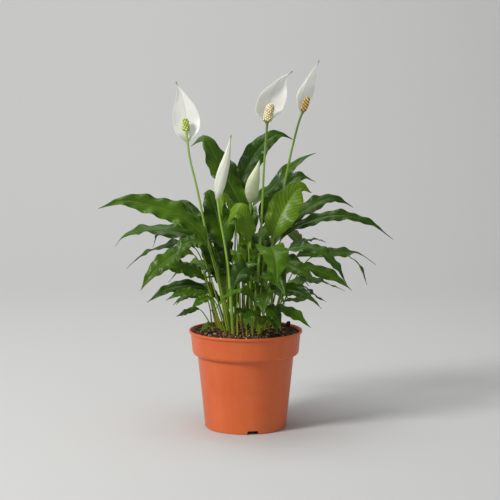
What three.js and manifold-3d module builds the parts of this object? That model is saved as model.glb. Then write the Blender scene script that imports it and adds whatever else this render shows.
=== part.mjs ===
// A peace lily in a plastic nursery pot: pot, potting mix, leaves on their stalks, three open
// flowers (stalk, spathe, spadix) and two closed ones. Millimetres, +Z up, origin at the centre
// of the pot's underside, -Y is the front.
import * as THREE from "three";
import { mergeVertices } from "three/addons/utils/BufferGeometryUtils.js";
import Module from "manifold-3d";

const wasm = await Module();
wasm.setup();

// ---- driving dimensions ----
const lipRadius = 85; // a 17 cm pot, measured over its lip
const potHeight = 147.5;
const baseRadius = 61;
const wall = 2;
const bandHeight = 36; // the thicker band below the lip
const notch = { count: 4, firstAngle: -80, width: 19, height: 5, depth: 15 };
const mixBelowLip = 4; // the potting mix stops this far below the lip at the wall
const mound = 6; // and rises this much towards the middle
const gap = 0.3; // clearance between touching pieces
const turnSides = 48;

const leafStem = { foot: 2.2, top: 1.5 }; // leaf stalk radius, at the soil and at the blade
const blade = { midThickness: 0.6, tipThickness: 0.3, edgeLift: 0.16, tipWidth: 0.5 };
const flowerStem = { foot: 2.6, top: 1.7, sides: 6, steps: 9 };
const steps = { stem: 5, blade: 11 };

// ---- colours ----
const finish = (color, roughness) => new THREE.MeshStandardMaterial({ color, roughness, metalness: 0 });
const terracotta = finish(0xc4623a, 0.55);
const mixBrown = finish(0x3a2318, 0.95);
const deepGreen = finish(0x2f6416, 0.4);
const freshGreen = finish(0x6f9a2c, 0.45);
const stemGreen = finish(0x7fa443, 0.5);
const spatheWhite = finish(0xf1f2ea, 0.5);
const spadixCream = finish(0xdccb8c, 0.7);

const plant = new THREE.Group();

function add(name, geometry, material) {
  const mesh = new THREE.Mesh(geometry, material);
  mesh.name = name;
  plant.add(mesh);
}

// ---- solids and booleans ----
function solidOf(geometry) {
  const bare = geometry.clone();
  bare.deleteAttribute("normal");
  bare.deleteAttribute("uv");
  const merged = mergeVertices(bare, 1e-3);
  return new wasm.Manifold(
    new wasm.Mesh({
      numProp: 3,
      vertProperties: merged.attributes.position.array,
      triVerts: new Uint32Array(merged.index.array),
    }),
  );
}

function geometryOf(solid) {
  const mesh = solid.getMesh();
  const geometry = new THREE.BufferGeometry();
  geometry.setAttribute("position", new THREE.BufferAttribute(mesh.vertProperties, 3));
  geometry.setIndex(new THREE.BufferAttribute(mesh.triVerts, 1));
  return geometry;
}

// Closed solid of revolution about +Z from [radius, height] points that start and end on the axis.
function turned(profile) {
  const points = profile.map(([radius, height]) => new THREE.Vector2(radius, height));
  return new THREE.LatheGeometry(points, turnSides).rotateX(Math.PI / 2);
}

// Closed solid through a row of rings, each an equal number of points, with flat ends.
function lofted(rings) {
  const sides = rings[0].length;
  const last = rings.length - 1;
  const index = [];
  for (let i = 0; i < last; i++) {
    for (let j = 0; j < sides; j++) {
      const a = i * sides + j;
      const b = i * sides + ((j + 1) % sides);
      index.push(a, b, b + sides, a, b + sides, a + sides);
    }
  }
  for (let j = 1; j < sides - 1; j++) {
    index.push(0, j + 1, j);
    index.push(last * sides, last * sides + j, last * sides + j + 1);
  }
  const geometry = new THREE.BufferGeometry().setFromPoints(rings.flat());
  return geometry.setIndex(index);
}

// ---- pot and potting mix ----
const floorThickness = 3;
const bodyTopRadius = 72.3;
const bandBottom = potHeight - bandHeight;
const bandRadius = { bottom: 79.8, top: 82.3 };

function pot() {
  const profile = [
    [0, 0],
    [baseRadius - 2, 0],
    [baseRadius, 2],
    [bodyTopRadius, bandBottom - 1],
    [bandRadius.bottom - 2, bandBottom + 1],
    [bandRadius.bottom, bandBottom + 4],
    [bandRadius.top, potHeight - 5],
    [lipRadius, potHeight - 3.5],
    [lipRadius, potHeight - 0.8],
    [lipRadius - 0.8, potHeight],
    [lipRadius - 2.6, potHeight],
    [bandRadius.top - wall, potHeight - 5],
    [bandRadius.bottom - wall, bandBottom + 5],
    [bodyTopRadius - wall, bandBottom + 2],
    [baseRadius - wall, floorThickness],
    [0, floorThickness],
  ];
  let solid = solidOf(turned(profile));
  const cutter = new THREE.Shape();
  cutter.moveTo(-notch.width / 2, -1);
  cutter.lineTo(notch.width / 2, -1);
  cutter.lineTo(notch.width / 2 - 2, notch.height);
  cutter.lineTo(-notch.width / 2 + 2, notch.height);
  for (let i = 0; i < notch.count; i++) {
    const angle = THREE.MathUtils.degToRad(notch.firstAngle + (i * 360) / notch.count);
    const block = new THREE.ExtrudeGeometry(cutter, { depth: notch.depth + 5, bevelEnabled: false });
    block.rotateX(Math.PI / 2); // the outline stands up, its depth runs along -Y
    block.translate(0, notch.depth - baseRadius + 5 - notch.depth, 0);
    block.rotateZ(angle + Math.PI / 2);
    solid = solid.subtract(solidOf(block));
  }
  return geometryOf(solid);
}

const mixEdge = potHeight - mixBelowLip;
const mixRadius = bandRadius.top - wall - 2 * gap;
const mixTop = (radius) => mixEdge + mound * (1 - (radius / mixRadius) ** 2);

function pottingMix() {
  const clear = wall + gap;
  const profile = [
    [0, floorThickness + gap],
    [baseRadius - clear - 0.2, floorThickness + gap],
    [bodyTopRadius - clear - 0.2, bandBottom + 2],
    [bandRadius.bottom - clear, bandBottom + 5 + gap],
    [mixRadius, mixEdge],
  ];
  for (const share of [0.8, 0.6, 0.4, 0.2, 0]) {
    profile.push([mixRadius * share, mixTop(mixRadius * share)]);
  }
  return turned(profile);
}

// ---- curves that rise in one upright plane ----
// A stem's foot is [x, y] on the mix. heading is its compass direction, 0 along +X and 90 along
// +Y. spine lists [reach, height] points: reach runs out from the foot along the heading, and
// height is above the pot's underside.
function planeOf({ foot, heading, spine }) {
  const angle = THREE.MathUtils.degToRad(heading);
  const out = new THREE.Vector3(Math.cos(angle), Math.sin(angle), 0);
  const side = new THREE.Vector3(-Math.sin(angle), Math.cos(angle), 0);
  const footHeight = mixTop(Math.hypot(...foot)) + gap + 0.3;
  const start = new THREE.Vector3(foot[0], foot[1], footHeight);
  const points = spine.map(([reach, height]) => {
    const point = start.clone().addScaledVector(out, reach);
    point.z = height;
    return point;
  });
  const curve = new THREE.CatmullRomCurve3([start, ...points], false, "centripetal");
  return { curve, side };
}

// Position, direction, side and upper normal of a curve at a share of its length.
function frameAt(curve, side, share, roll = 0) {
  const at = curve.getPointAt(share);
  const along = curve.getTangentAt(share);
  const upper = new THREE.Vector3().crossVectors(along, side);
  const angle = THREE.MathUtils.degToRad(roll);
  const across = side.clone().multiplyScalar(Math.cos(angle)).addScaledVector(upper, Math.sin(angle));
  const normal = upper.clone().multiplyScalar(Math.cos(angle)).addScaledVector(side, -Math.sin(angle));
  return { at, along, across, normal };
}

function flattenFoot(ring, height) {
  ring.forEach((point) => (point.z = height));
}

// ---- leaves ----
// Share of the full half width along a blade: a short wedge at the stalk, widest before the
// middle, then a long drawn-out tip.
function bladeOutline(t) {
  const widest = 0.4;
  if (t < widest) return (1 - (1 - t / widest) ** 2) ** 0.65;
  const rest = (t - widest) / (1 - widest);
  return (1 + Math.cos(Math.PI * rest)) / 2;
}

function leafRing(frame, halfWidth, halfThickness, lift) {
  const place = (across, up) =>
    frame.at.clone().addScaledVector(frame.across, across).addScaledVector(frame.normal, up);
  return [
    place(halfWidth, lift),
    place(0, halfThickness),
    place(-halfWidth, lift),
    place(0, -halfThickness),
  ];
}

function leaf(row) {
  const { curve, side } = planeOf(row);
  const lengths = curve.getLengths(200);
  const bladeStart = lengths[Math.round(200 / row.spine.length)] / lengths[200];
  const twist = row.twist ?? 0;
  const rings = [];
  for (let i = 0; i <= steps.stem; i++) {
    const t = i / steps.stem;
    const radius = THREE.MathUtils.lerp(leafStem.foot, leafStem.top, t);
    rings.push(leafRing(frameAt(curve, side, t * bladeStart, row.roll * t), radius, radius, 0));
  }
  flattenFoot(rings[0], curve.getPointAt(0).z);
  for (let i = 1; i <= steps.blade; i++) {
    const t = i / steps.blade;
    const frame = frameAt(curve, side, bladeStart + t * (1 - bladeStart), row.roll + twist * t);
    const halfWidth = Math.max((row.width / 2) * bladeOutline(t), blade.tipWidth);
    const halfThickness = THREE.MathUtils.lerp(blade.midThickness, blade.tipThickness, t);
    rings.push(leafRing(frame, halfWidth, halfThickness, halfWidth * blade.edgeLift));
  }
  return lofted(rings);
}

// roll turns a blade about its midrib: a positive roll tips the upper face to the right, looking
// out along the heading. twist is added to it by the tip. The first spine point is where the
// blade starts.
const leaves = {
  // tall leaves at the top
  leaf_top_1: {
    foot: [4, 15], heading: 165, width: 38, roll: -50,
    spine: [[8, 320], [26, 362], [42, 392], [57, 418], [70, 432], [89, 419]],
  },
  leaf_top_2: {
    foot: [-16, 34], heading: 30, width: 32, roll: 50,
    spine: [[4, 338], [20, 386], [38, 414], [62, 434], [80, 438], [104, 428]],
  },
  leaf_top_3: {
    foot: [4, 26], heading: 15, width: 20, roll: 40,
    spine: [[7, 330], [42, 362], [63, 384], [88, 401], [107, 408]],
  },
  leaf_top_4: {
    foot: [20, 42], heading: 35, width: 32, roll: 45,
    spine: [[5, 302], [34, 343], [60, 364], [76, 373], [106, 364]],
  },
  leaf_top_5: {
    foot: [24, -18], heading: 20, width: 45, roll: 60, young: true,
    spine: [[18, 287], [32, 327], [44, 346], [62, 361], [78, 350]],
  },
  leaf_top_6: {
    foot: [10, -54], heading: 172, width: 36, roll: -35, young: true,
    spine: [[6, 284], [8, 308], [13, 325], [22, 333], [31, 325], [37, 306]],
  },
  leaf_top_7: {
    foot: [-6, -30], heading: 195, width: 14, roll: -50, young: true,
    spine: [[10, 316], [16, 338], [25, 348], [30, 338], [28, 320]],
  },
  leaf_top_8: {
    foot: [-25, -28], heading: 135, width: 42, roll: -30,
    spine: [[8, 272], [22, 311], [33, 343], [42, 357], [52, 351]],
  },
  // leaves that reach out to the left
  leaf_left_1: {
    foot: [-26, -34], heading: 185, width: 32, roll: -60,
    spine: [[30, 278], [66, 322], [107, 338], [152, 345], [188, 332]],
  },
  leaf_left_2: {
    foot: [-22, -44], heading: 205, width: 26, roll: -30,
    spine: [[36, 280], [56, 288], [74, 283], [86, 262]],
  },
  leaf_left_3: {
    foot: [-40, 3], heading: 171, width: 25, roll: -52, twist: 35,
    spine: [[35, 280], [79, 295], [117, 296], [146, 286], [159, 270]],
  },
  leaf_left_4: {
    foot: [-30, 26], heading: 155, width: 22, roll: -10,
    spine: [[58, 290], [84, 299], [106, 292], [117, 282], [126, 262]],
  },
  leaf_left_5: {
    foot: [-44, 14], heading: 178, width: 20, roll: -10,
    spine: [[31, 267], [56, 276], [88, 268], [113, 257], [136, 237]],
  },
  leaf_left_6: {
    foot: [-34, -22], heading: 200, width: 26, roll: -50,
    spine: [[44, 264], [64, 271], [92, 256], [112, 239], [126, 215]],
  },
  leaf_left_7: {
    foot: [-38, -14], heading: 195, width: 22, roll: -50,
    spine: [[23, 224], [33, 235], [54, 243], [74, 246], [99, 241]],
  },
  leaf_left_8: {
    foot: [-41, -4], heading: 190, width: 19, roll: -50,
    spine: [[18, 208], [35, 214], [57, 215], [80, 210], [108, 193]],
  },
  leaf_left_9: {
    foot: [-32, -32], heading: 212, width: 14, roll: -45,
    spine: [[29, 207], [51, 213], [72, 214], [97, 203]],
  },
  leaf_left_10: {
    foot: [-50, 3], heading: 172, width: 13, roll: -40,
    spine: [[8, 191], [24, 199], [42, 195], [56, 183]],
  },
  leaf_left_11: {
    foot: [-47, -12], heading: 185, width: 10, roll: -50,
    spine: [[22, 180], [35, 179], [57, 170]],
  },
  leaf_left_12: {
    foot: [-28, -48], heading: 225, width: 12, roll: -45,
    spine: [[28, 204], [50, 205], [70, 192]],
  },
  leaf_left_13: {
    foot: [-40, -30], heading: 215, width: 10, roll: -30,
    spine: [[8, 158], [18, 161], [32, 153]],
  },
  leaf_left_14: {
    foot: [-26, 36], heading: 150, width: 20, roll: -55,
    spine: [[32, 276], [53, 304], [67, 323], [80, 332], [98, 332]],
  },
  // leaves at the front
  leaf_front_1: {
    foot: [-20, -30], heading: 286, width: 15, roll: 0,
    spine: [[6, 260], [20, 272], [34, 262], [42, 244]],
  },
  leaf_front_2: {
    foot: [-12, -56], heading: 345, width: 13, roll: 45,
    spine: [[2, 228], [10, 243], [18, 251], [34, 254]],
  },
  leaf_front_3: {
    foot: [20, -15], heading: 285, width: 42, roll: 0,
    spine: [[28, 260], [58, 280], [90, 266], [113, 231]],
  },
  leaf_front_4: {
    foot: [28, -25], heading: 330, width: 22, roll: 45,
    spine: [[20, 254], [44, 251], [66, 243], [84, 229]],
  },
  leaf_front_5: {
    foot: [8, -46], heading: 335, width: 20, roll: 45,
    spine: [[28, 218], [55, 218], [80, 214], [105, 200]],
  },
  leaf_front_6: {
    foot: [34, -38], heading: 180, width: 14, roll: -45,
    spine: [[1, 203], [14, 214], [26, 218], [38, 213]],
  },
  leaf_front_7: {
    foot: [2, -60], heading: 215, width: 15, roll: -40,
    spine: [[2, 170], [5, 182], [13, 187], [27, 181]],
  },
  leaf_front_8: {
    foot: [16, -38], heading: 310, width: 18, roll: 25,
    spine: [[10, 186], [26, 188], [43, 178], [58, 158]],
  },
  // leaves that reach out to the right
  leaf_right_1: {
    foot: [36, 18], heading: 20, width: 24, roll: 40,
    spine: [[22, 290], [59, 326], [101, 342], [120, 335], [137, 325]],
  },
  leaf_right_2: {
    foot: [35, 4], heading: 3, width: 21, roll: 45,
    spine: [[19, 284], [56, 308], [102, 318], [150, 307], [186, 281]],
  },
  leaf_right_3: {
    foot: [30, -12], heading: 340, width: 20, roll: 35,
    spine: [[30, 266], [54, 275], [78, 273], [108, 253], [127, 224]],
  },
  leaf_right_4: {
    foot: [38, 14], heading: 12, width: 25, roll: 50, twist: -60,
    spine: [[39, 254], [81, 261], [119, 259], [137, 257], [165, 239]],
  },
  leaf_right_5: {
    foot: [40, 30], heading: 28, width: 18, roll: 10,
    spine: [[64, 246], [96, 254], [128, 250], [156, 231], [170, 199]],
  },
  leaf_right_6: {
    foot: [34, 38], heading: 40, width: 18, roll: 0,
    spine: [[42, 262], [70, 271], [99, 272], [119, 266]],
  },
  leaf_right_7: {
    foot: [40, -2], heading: 350, width: 20, roll: 40,
    spine: [[34, 238], [49, 243], [68, 239], [98, 225], [118, 209]],
  },
  leaf_right_8: {
    foot: [40, -14], heading: 345, width: 18, roll: 45, twist: -60,
    spine: [[22, 218], [42, 225], [65, 226], [83, 222], [110, 212]],
  },
  leaf_right_9: {
    foot: [44, 14], heading: 15, width: 13, roll: 20,
    spine: [[28, 210], [43, 210], [55, 202], [67, 192], [81, 184]],
  },
  leaf_right_10: {
    foot: [46, 2], heading: 355, width: 12, roll: 25,
    spine: [[12, 189], [31, 193], [50, 195], [68, 179]],
  },
  // leaves at the back
  leaf_back_1: {
    foot: [6, 42], heading: 95, width: 36, roll: 0,
    spine: [[32, 270], [62, 308], [98, 312], [140, 280]],
  },
};

// A shoot is several leaves whose stalks still share one sheath at the mix.
const shoots = {
  shoot_front: [
    {
      foot: [20.4, -50.5], heading: 243, width: 28, roll: -33,
      spine: [[16, 228], [39, 250], [67, 246], [94, 224]],
    },
    {
      foot: [18.4, -51.9], heading: 299, width: 28, roll: 34,
      spine: [[12, 225], [31, 245], [53, 239], [76, 215]],
    },
    {
      foot: [20.8, -51.9], heading: 276, width: 26, roll: 26,
      spine: [[8, 191], [21, 212], [38, 208], [56, 184]],
    },
    {
      foot: [20.6, -51.6], heading: 216, width: 24, roll: 16,
      spine: [[11, 200], [31, 218], [56, 212], [80, 192]],
    },
    {
      foot: [21.2, -49.8], heading: 346, width: 22, roll: 32,
      spine: [[11, 171], [30, 187], [53, 181], [76, 161]],
    },
    {
      foot: [21.6, -49.8], heading: 244, width: 20, roll: 7,
      spine: [[9, 173], [22, 187], [40, 181], [57, 165]],
    },
    {
      foot: [18.1, -47.8], heading: 306, width: 20, roll: -14,
      spine: [[7, 162], [18, 178], [33, 174], [49, 156]],
    },
  ],
  shoot_middle: [
    {
      foot: [-4, 8], heading: 93, width: 36, roll: 0,
      spine: [[35, 282], [49, 322], [64, 340], [92, 330]],
    },
    {
      foot: [-3, 6], heading: 30, width: 32, roll: 20,
      spine: [[18, 256], [38, 290], [62, 304], [92, 296]],
    },
    {
      foot: [-5.5, 7], heading: 172, width: 28, roll: -35,
      spine: [[14, 246], [32, 276], [52, 286], [78, 276]],
    },
    {
      foot: [-3, 8.5], heading: 8, width: 26, roll: 25,
      spine: [[13, 190], [24, 232], [34, 264], [52, 284]],
    },
    {
      foot: [-5, 8.5], heading: 146, width: 28, roll: -20,
      spine: [[12, 180], [23, 220], [34, 250], [50, 270]],
    },
    {
      foot: [-5.5, 6], heading: 200, width: 24, roll: 30,
      spine: [[12, 180], [25, 212], [40, 228], [62, 228]],
    },
    {
      foot: [-6, 8.6], heading: 287, width: 26, roll: -29,
      spine: [[16, 244], [33, 270], [51, 272], [70, 254]],
    },
    {
      foot: [-2.5, 6.4], heading: 276, width: 24, roll: -8,
      spine: [[12, 217], [24, 241], [39, 245], [56, 229]],
    },
    {
      foot: [-4, 6], heading: 198, width: 24, roll: -1,
      spine: [[13, 210], [29, 236], [47, 242], [67, 230]],
    },
  ],
  shoot_back_left: [
    {
      foot: [-14, 48], heading: 118, width: 30, roll: -10,
      spine: [[30, 250], [60, 280], [94, 280], [132, 252]],
    },
    {
      foot: [-15.5, 49], heading: 146, width: 26, roll: -15,
      spine: [[34, 216], [64, 236], [96, 230], [128, 202]],
    },
    {
      foot: [-12.5, 49.5], heading: 100, width: 22, roll: 0,
      spine: [[22, 190], [48, 208], [74, 202], [104, 174]],
    },
    {
      foot: [-15.5, 47], heading: 168, width: 30, roll: -40,
      spine: [[16, 200], [34, 246], [54, 276], [84, 284]],
    },
    {
      foot: [-14.6, 49.2], heading: 181, width: 24, roll: -28,
      spine: [[21, 180], [43, 202], [69, 198], [96, 176]],
    },
  ],
  shoot_back_right: [
    {
      foot: [14, 54], heading: 78, width: 26, roll: 0,
      spine: [[24, 216], [52, 240], [82, 234], [116, 204]],
    },
    {
      foot: [15.5, 53], heading: 48, width: 26, roll: 15,
      spine: [[32, 206], [62, 226], [94, 220], [126, 192]],
    },
    {
      foot: [14.5, 55.5], heading: 60, width: 20, roll: 5,
      spine: [[20, 182], [44, 196], [68, 188], [92, 164]],
    },
    {
      foot: [13, 53], heading: 112, width: 28, roll: -10,
      spine: [[14, 204], [28, 250], [46, 278], [74, 276]],
    },
    {
      foot: [14.7, 54.7], heading: 56, width: 30, roll: -18,
      spine: [[33, 251], [68, 279], [103, 277], [148, 247]],
    },
    {
      foot: [16.9, 54.6], heading: 338, width: 26, roll: 27,
      spine: [[17, 221], [39, 245], [62, 243], [88, 223]],
    },
    {
      foot: [16.2, 53.2], heading: 325, width: 24, roll: 27,
      spine: [[12, 185], [25, 209], [42, 209], [60, 191]],
    },
  ],
};

// ---- flowers ----
function roundRing(frame, radius, sides) {
  return Array.from({ length: sides }, (_, k) => {
    const angle = (k / sides) * 2 * Math.PI;
    return frame.at
      .clone()
      .addScaledVector(frame.across, radius * Math.cos(angle))
      .addScaledVector(frame.normal, radius * Math.sin(angle));
  });
}

function flowerStalk(row) {
  const { curve, side } = planeOf(row);
  const rings = [];
  for (let i = 0; i <= flowerStem.steps; i++) {
    const t = i / flowerStem.steps;
    const radius = THREE.MathUtils.lerp(flowerStem.foot, flowerStem.top, t);
    rings.push(roundRing(frameAt(curve, side, t), radius, flowerStem.sides));
  }
  flattenFoot(rings[0], curve.getPointAt(0).z);
  return { geometry: lofted(rings), top: curve.getPointAt(1), along: curve.getTangentAt(1) };
}

// A flower part's spine lists [right, back, up] offsets from the foot of the spadix. heading is
// the direction its outer face looks in.
function partPlane(top, heading, spine) {
  const angle = THREE.MathUtils.degToRad(heading);
  const side = new THREE.Vector3(-Math.sin(angle), Math.cos(angle), 0);
  const points = spine.map((offset) => top.clone().add(new THREE.Vector3(...offset)));
  return { curve: new THREE.CatmullRomCurve3(points, false, "centripetal"), side };
}

// Share of the full half width along a spathe: rounded at the stalk, pointed at the tip.
function spatheOutline(t) {
  const widest = 0.36;
  if (t < widest) return Math.sqrt(1 - (1 - t / widest) ** 2);
  const rest = (t - widest) / (1 - widest);
  return ((1 + Math.cos(Math.PI * rest)) / 2) ** 0.95;
}

// An open spathe is a thin bowed sheet: its edges stand forward of its middle.
function openSpathe(row) {
  const { curve, side } = partPlane(row.top, row.heading, row.spine);
  const halfThickness = 0.5;
  const rings = [];
  for (let i = 0; i <= 11; i++) {
    const t = i / 11;
    const frame = frameAt(curve, side, t, row.roll);
    const halfWidth = Math.max((row.width / 2) * spatheOutline(t), t > 0.5 ? 0.6 : 1.6);
    const bow = halfWidth * row.bow;
    const place = (share, skin) =>
      frame.at
        .clone()
        .addScaledVector(frame.across, halfWidth * share)
        .addScaledVector(frame.normal, bow * share * share + skin);
    rings.push([
      place(1, 0),
      place(0.5, halfThickness),
      place(0, halfThickness),
      place(-0.5, halfThickness),
      place(-1, 0),
      place(-0.5, -halfThickness),
      place(0, -halfThickness),
      place(0.5, -halfThickness),
    ]);
  }
  return lofted(rings);
}

// A closed spathe is rolled into a spindle.
function closedSpathe(row) {
  const { curve, side } = partPlane(row.top, row.heading, row.spine);
  const rings = [];
  for (let i = 0; i <= 11; i++) {
    const t = i / 11;
    const radius = Math.max((row.width / 2) * spatheOutline(t), t > 0.5 ? 0.5 : 1.7);
    rings.push(roundRing(frameAt(curve, side, t), radius, 8));
  }
  return lofted(rings);
}

function spadix({ top, along, length, width }) {
  const steps = 7;
  const neck = 1.4;
  const rounded = (t) => (width / 2) * Math.sin(Math.PI * Math.min(0.14 + 0.8 * t, 0.94)) ** 0.55;
  const side = new THREE.Vector3(1, 0, 0).addScaledVector(along, -along.x).normalize();
  const normal = new THREE.Vector3().crossVectors(along, side);
  const rings = [];
  for (let i = 0; i <= steps; i++) {
    const t = i / steps;
    const at = top.clone().addScaledVector(along, gap + t * length);
    const radius = i === 0 ? neck : rounded(t);
    rings.push(roundRing({ at, across: side, normal }, radius, 10));
  }
  return lofted(rings);
}

const flowers = {
  flower_left: {
    foot: [-20, -20], heading: 185, spine: [[37, 290], [45, 330], [54, 372], [62, 406], [67, 446]],
    spathe: { heading: 95, roll: -8, width: 41, bow: 0.35,
      spine: [[1, 3, -16], [1, 8, -4], [0, 14, 17], [-4, 17, 42], [-9, 16, 57], [-14, 12, 70]] },
    spadix: { length: 18.5, width: 10, lean: [-0.1, 0.02, 1] },
  },
  flower_middle: {
    foot: [12, -22], heading: 2, spine: [[10, 288], [13, 345], [15, 392], [20, 460]],
    spathe: { heading: 101, roll: 5, width: 43, bow: 0.4,
      spine: [[-2, 3, -3], [-1, 12, 8], [4, 18, 27], [11, 20, 47], [21, 18, 62], [36, 15, 71]] },
    spadix: { length: 27, width: 14, lean: [0.2, -0.05, 1] },
  },
  flower_right: {
    foot: [14, 5], heading: 0, spine: [[41, 350], [46, 376], [56, 423], [66, 461], [71, 474]],
    spathe: { heading: 124, roll: 4, width: 31, bow: 0.45,
      spine: [[-2, 2, -4], [-3, 7, 6], [-1, 12, 20], [6, 15, 41], [14, 14, 57], [24, 11, 73]] },
    spadix: { length: 23, width: 9.5, lean: [0.33, -0.05, 1] },
  },
  bud_left: {
    foot: [-18, -48], heading: 180, spine: [[8, 253], [13, 285], [20, 325], [23, 348]],
    bud: { heading: 0, width: 18, spine: [[0, 0, 0.6], [5, 0, 28], [14, 0, 62], [20, 0, 92]] },
  },
  bud_middle: {
    foot: [8, -2], heading: 180, spine: [[1, 240], [1, 340]],
    bud: { heading: 0, width: 19, spine: [[0, 0, 0.6], [3, 0, 24], [9, 0, 46], [14, 0, 62]] },
  },
};

// ---- assembly ----
add("pot", pot(), terracotta);
add("potting_mix", pottingMix(), mixBrown);
for (const [name, row] of Object.entries(leaves)) {
  add(name, leaf(row), row.young ? freshGreen : deepGreen);
}
for (const [name, rows] of Object.entries(shoots)) {
  const [first, ...others] = rows.map((row) => solidOf(leaf(row)));
  add(name, geometryOf(others.reduce((whole, one) => whole.add(one), first)), deepGreen);
}
for (const [name, row] of Object.entries(flowers)) {
  const stalk = flowerStalk(row);
  add(`${name}_stalk`, stalk.geometry, stemGreen);
  if (row.bud) {
    add(`${name}_spathe`, closedSpathe({ ...row.bud, top: stalk.top }), spatheWhite);
  } else {
    const along = new THREE.Vector3(...row.spadix.lean).normalize();
    add(`${name}_spathe`, openSpathe({ ...row.spathe, top: stalk.top }), spatheWhite);
    add(`${name}_spadix`, spadix({ ...row.spadix, top: stalk.top, along }), spadixCream);
  }
}

export default plant;
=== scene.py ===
import math

import bmesh
import bpy
from mathutils import Euler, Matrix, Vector, noise


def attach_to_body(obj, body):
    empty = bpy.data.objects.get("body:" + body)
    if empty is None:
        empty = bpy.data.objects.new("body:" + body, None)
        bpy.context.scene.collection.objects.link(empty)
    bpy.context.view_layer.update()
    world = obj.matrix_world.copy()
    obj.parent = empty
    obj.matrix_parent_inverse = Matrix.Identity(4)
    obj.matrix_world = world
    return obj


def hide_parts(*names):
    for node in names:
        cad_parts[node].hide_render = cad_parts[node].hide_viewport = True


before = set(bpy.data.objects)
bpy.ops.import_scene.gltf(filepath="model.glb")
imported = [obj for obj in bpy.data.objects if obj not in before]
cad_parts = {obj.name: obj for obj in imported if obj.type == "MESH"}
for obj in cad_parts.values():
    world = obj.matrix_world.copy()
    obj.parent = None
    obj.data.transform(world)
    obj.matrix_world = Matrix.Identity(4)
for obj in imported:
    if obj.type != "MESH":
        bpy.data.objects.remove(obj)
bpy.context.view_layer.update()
mm = 0.001


# Node helpers. A Field is an output socket, and sums on it make Math nodes.

def feed(tree, socket, value):
    if isinstance(value, Field):
        tree.links.new(value.socket, socket)
    else:
        socket.default_value = value


class Field:
    def __init__(self, tree, socket):
        self.tree = tree
        self.socket = socket

    def math(self, operation, *others, clamp=False):
        node = self.tree.nodes.new("ShaderNodeMath")
        node.operation = operation
        node.use_clamp = clamp
        for socket, value in zip(node.inputs, (self, *others)):
            feed(self.tree, socket, value)
        return Field(self.tree, node.outputs[0])

    def __add__(self, other):
        return self.math("ADD", other)

    def __sub__(self, other):
        return self.math("SUBTRACT", other)

    def __rsub__(self, other):
        return (self * -1.0) + other

    def __mul__(self, other):
        return self.math("MULTIPLY", other)

    def __truediv__(self, other):
        return self.math("DIVIDE", other)

    def __pow__(self, other):
        return self.math("POWER", other)

    __radd__ = __add__
    __rmul__ = __mul__

    def sin(self):
        return self.math("SINE")

    def cos(self):
        return self.math("COSINE")

    def abs(self):
        return self.math("ABSOLUTE")

    def clamp(self):
        return self.math("ADD", 0.0, clamp=True)


def vectorMath(tree, operation, *values, scale=None):
    node = tree.nodes.new("ShaderNodeVectorMath")
    node.operation = operation
    for socket, value in zip(node.inputs, values):
        feed(tree, socket, value)
    if scale is not None:
        feed(tree, node.inputs["Scale"], scale)
    return Field(tree, node.outputs[0])


def addUp(tree, *vectors):
    total = vectors[0]
    for vector in vectors[1:]:
        total = vectorMath(tree, "ADD", total, vector)
    return total


def scaled(tree, vector, amount):
    return vectorMath(tree, "SCALE", vector, scale=amount)


def parts(tree, vector):
    node = tree.nodes.new("ShaderNodeSeparateXYZ")
    feed(tree, node.inputs[0], vector)
    return [Field(tree, output) for output in node.outputs]


def combine(tree, x, y, z):
    node = tree.nodes.new("ShaderNodeCombineXYZ")
    for socket, value in zip(node.inputs, (x, y, z)):
        feed(tree, socket, value)
    return Field(tree, node.outputs[0])


def floatCurve(tree, value, points):
    node = tree.nodes.new("ShaderNodeFloatCurve")
    curve = node.mapping.curves[0]
    while len(curve.points) < len(points):
        curve.points.new(0.5, 0.5)
    for point, place in zip(curve.points, points):
        point.location = place
    node.mapping.update()
    feed(tree, node.inputs["Value"], value)
    return Field(tree, node.outputs[0])


def step(tree, kind, output=0, settings=None, **values):
    # one node: its settings, then its inputs by name with spaces taken out
    node = tree.nodes.new(kind)
    for key, value in (settings or {}).items():
        setattr(node, key, value)
    for key, value in values.items():
        socket = next(s for s in node.inputs if s.enabled and s.name.replace(" ", "") == key)
        feed(tree, socket, value)
    found = node.outputs[output] if isinstance(output, int) else next(
        s for s in node.outputs if s.enabled and s.name == output)
    return Field(tree, found)


def randomValue(tree, low, high, seed):
    kind = "FLOAT_VECTOR" if isinstance(low, tuple) else "FLOAT"
    return step(tree, "FunctionNodeRandomValue", settings={"data_type": kind}, output="Value",
        Min=low, Max=high, Seed=seed)


def newTree(name, inputs):
    tree = bpy.data.node_groups.new(name, "GeometryNodeTree")
    face = tree.interface
    face.new_socket("Geometry", in_out="INPUT", socket_type="NodeSocketGeometry")
    for label, value in inputs.items():
        kind = {float: "Float", int: "Int", tuple: "Vector", str: "Material"}[type(value)]
        socket = face.new_socket(label, in_out="INPUT", socket_type="NodeSocket" + kind)
        if kind != "Material":
            socket.default_value = value
    face.new_socket("Geometry", in_out="OUTPUT", socket_type="NodeSocketGeometry")
    entry = tree.nodes.new("NodeGroupInput")
    fields = {s.name: Field(tree, s) for s in entry.outputs if s.name}
    return tree, fields


def endTree(tree, geometry, material):
    whole = step(tree, "GeometryNodeSetShadeSmooth", Geometry=geometry)
    whole = step(tree, "GeometryNodeRealizeInstances", Geometry=whole)
    painted = step(tree, "GeometryNodeSetMaterial", Geometry=whole, Material=material)
    leave = tree.nodes.new("NodeGroupOutput")
    tree.links.new(painted.socket, leave.inputs[0])


def join(tree, *geometries):
    node = tree.nodes.new("GeometryNodeJoinGeometry")
    for geometry in reversed(geometries):
        tree.links.new(geometry.socket, node.inputs[0])
    return Field(tree, node.outputs[0])


def store(tree, geometry, name, kind, value, domain="POINT"):
    return step(tree, "GeometryNodeStoreNamedAttribute",
        settings={"data_type": kind, "domain": domain},
        Geometry=geometry, Name=name, Value=value)


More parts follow.
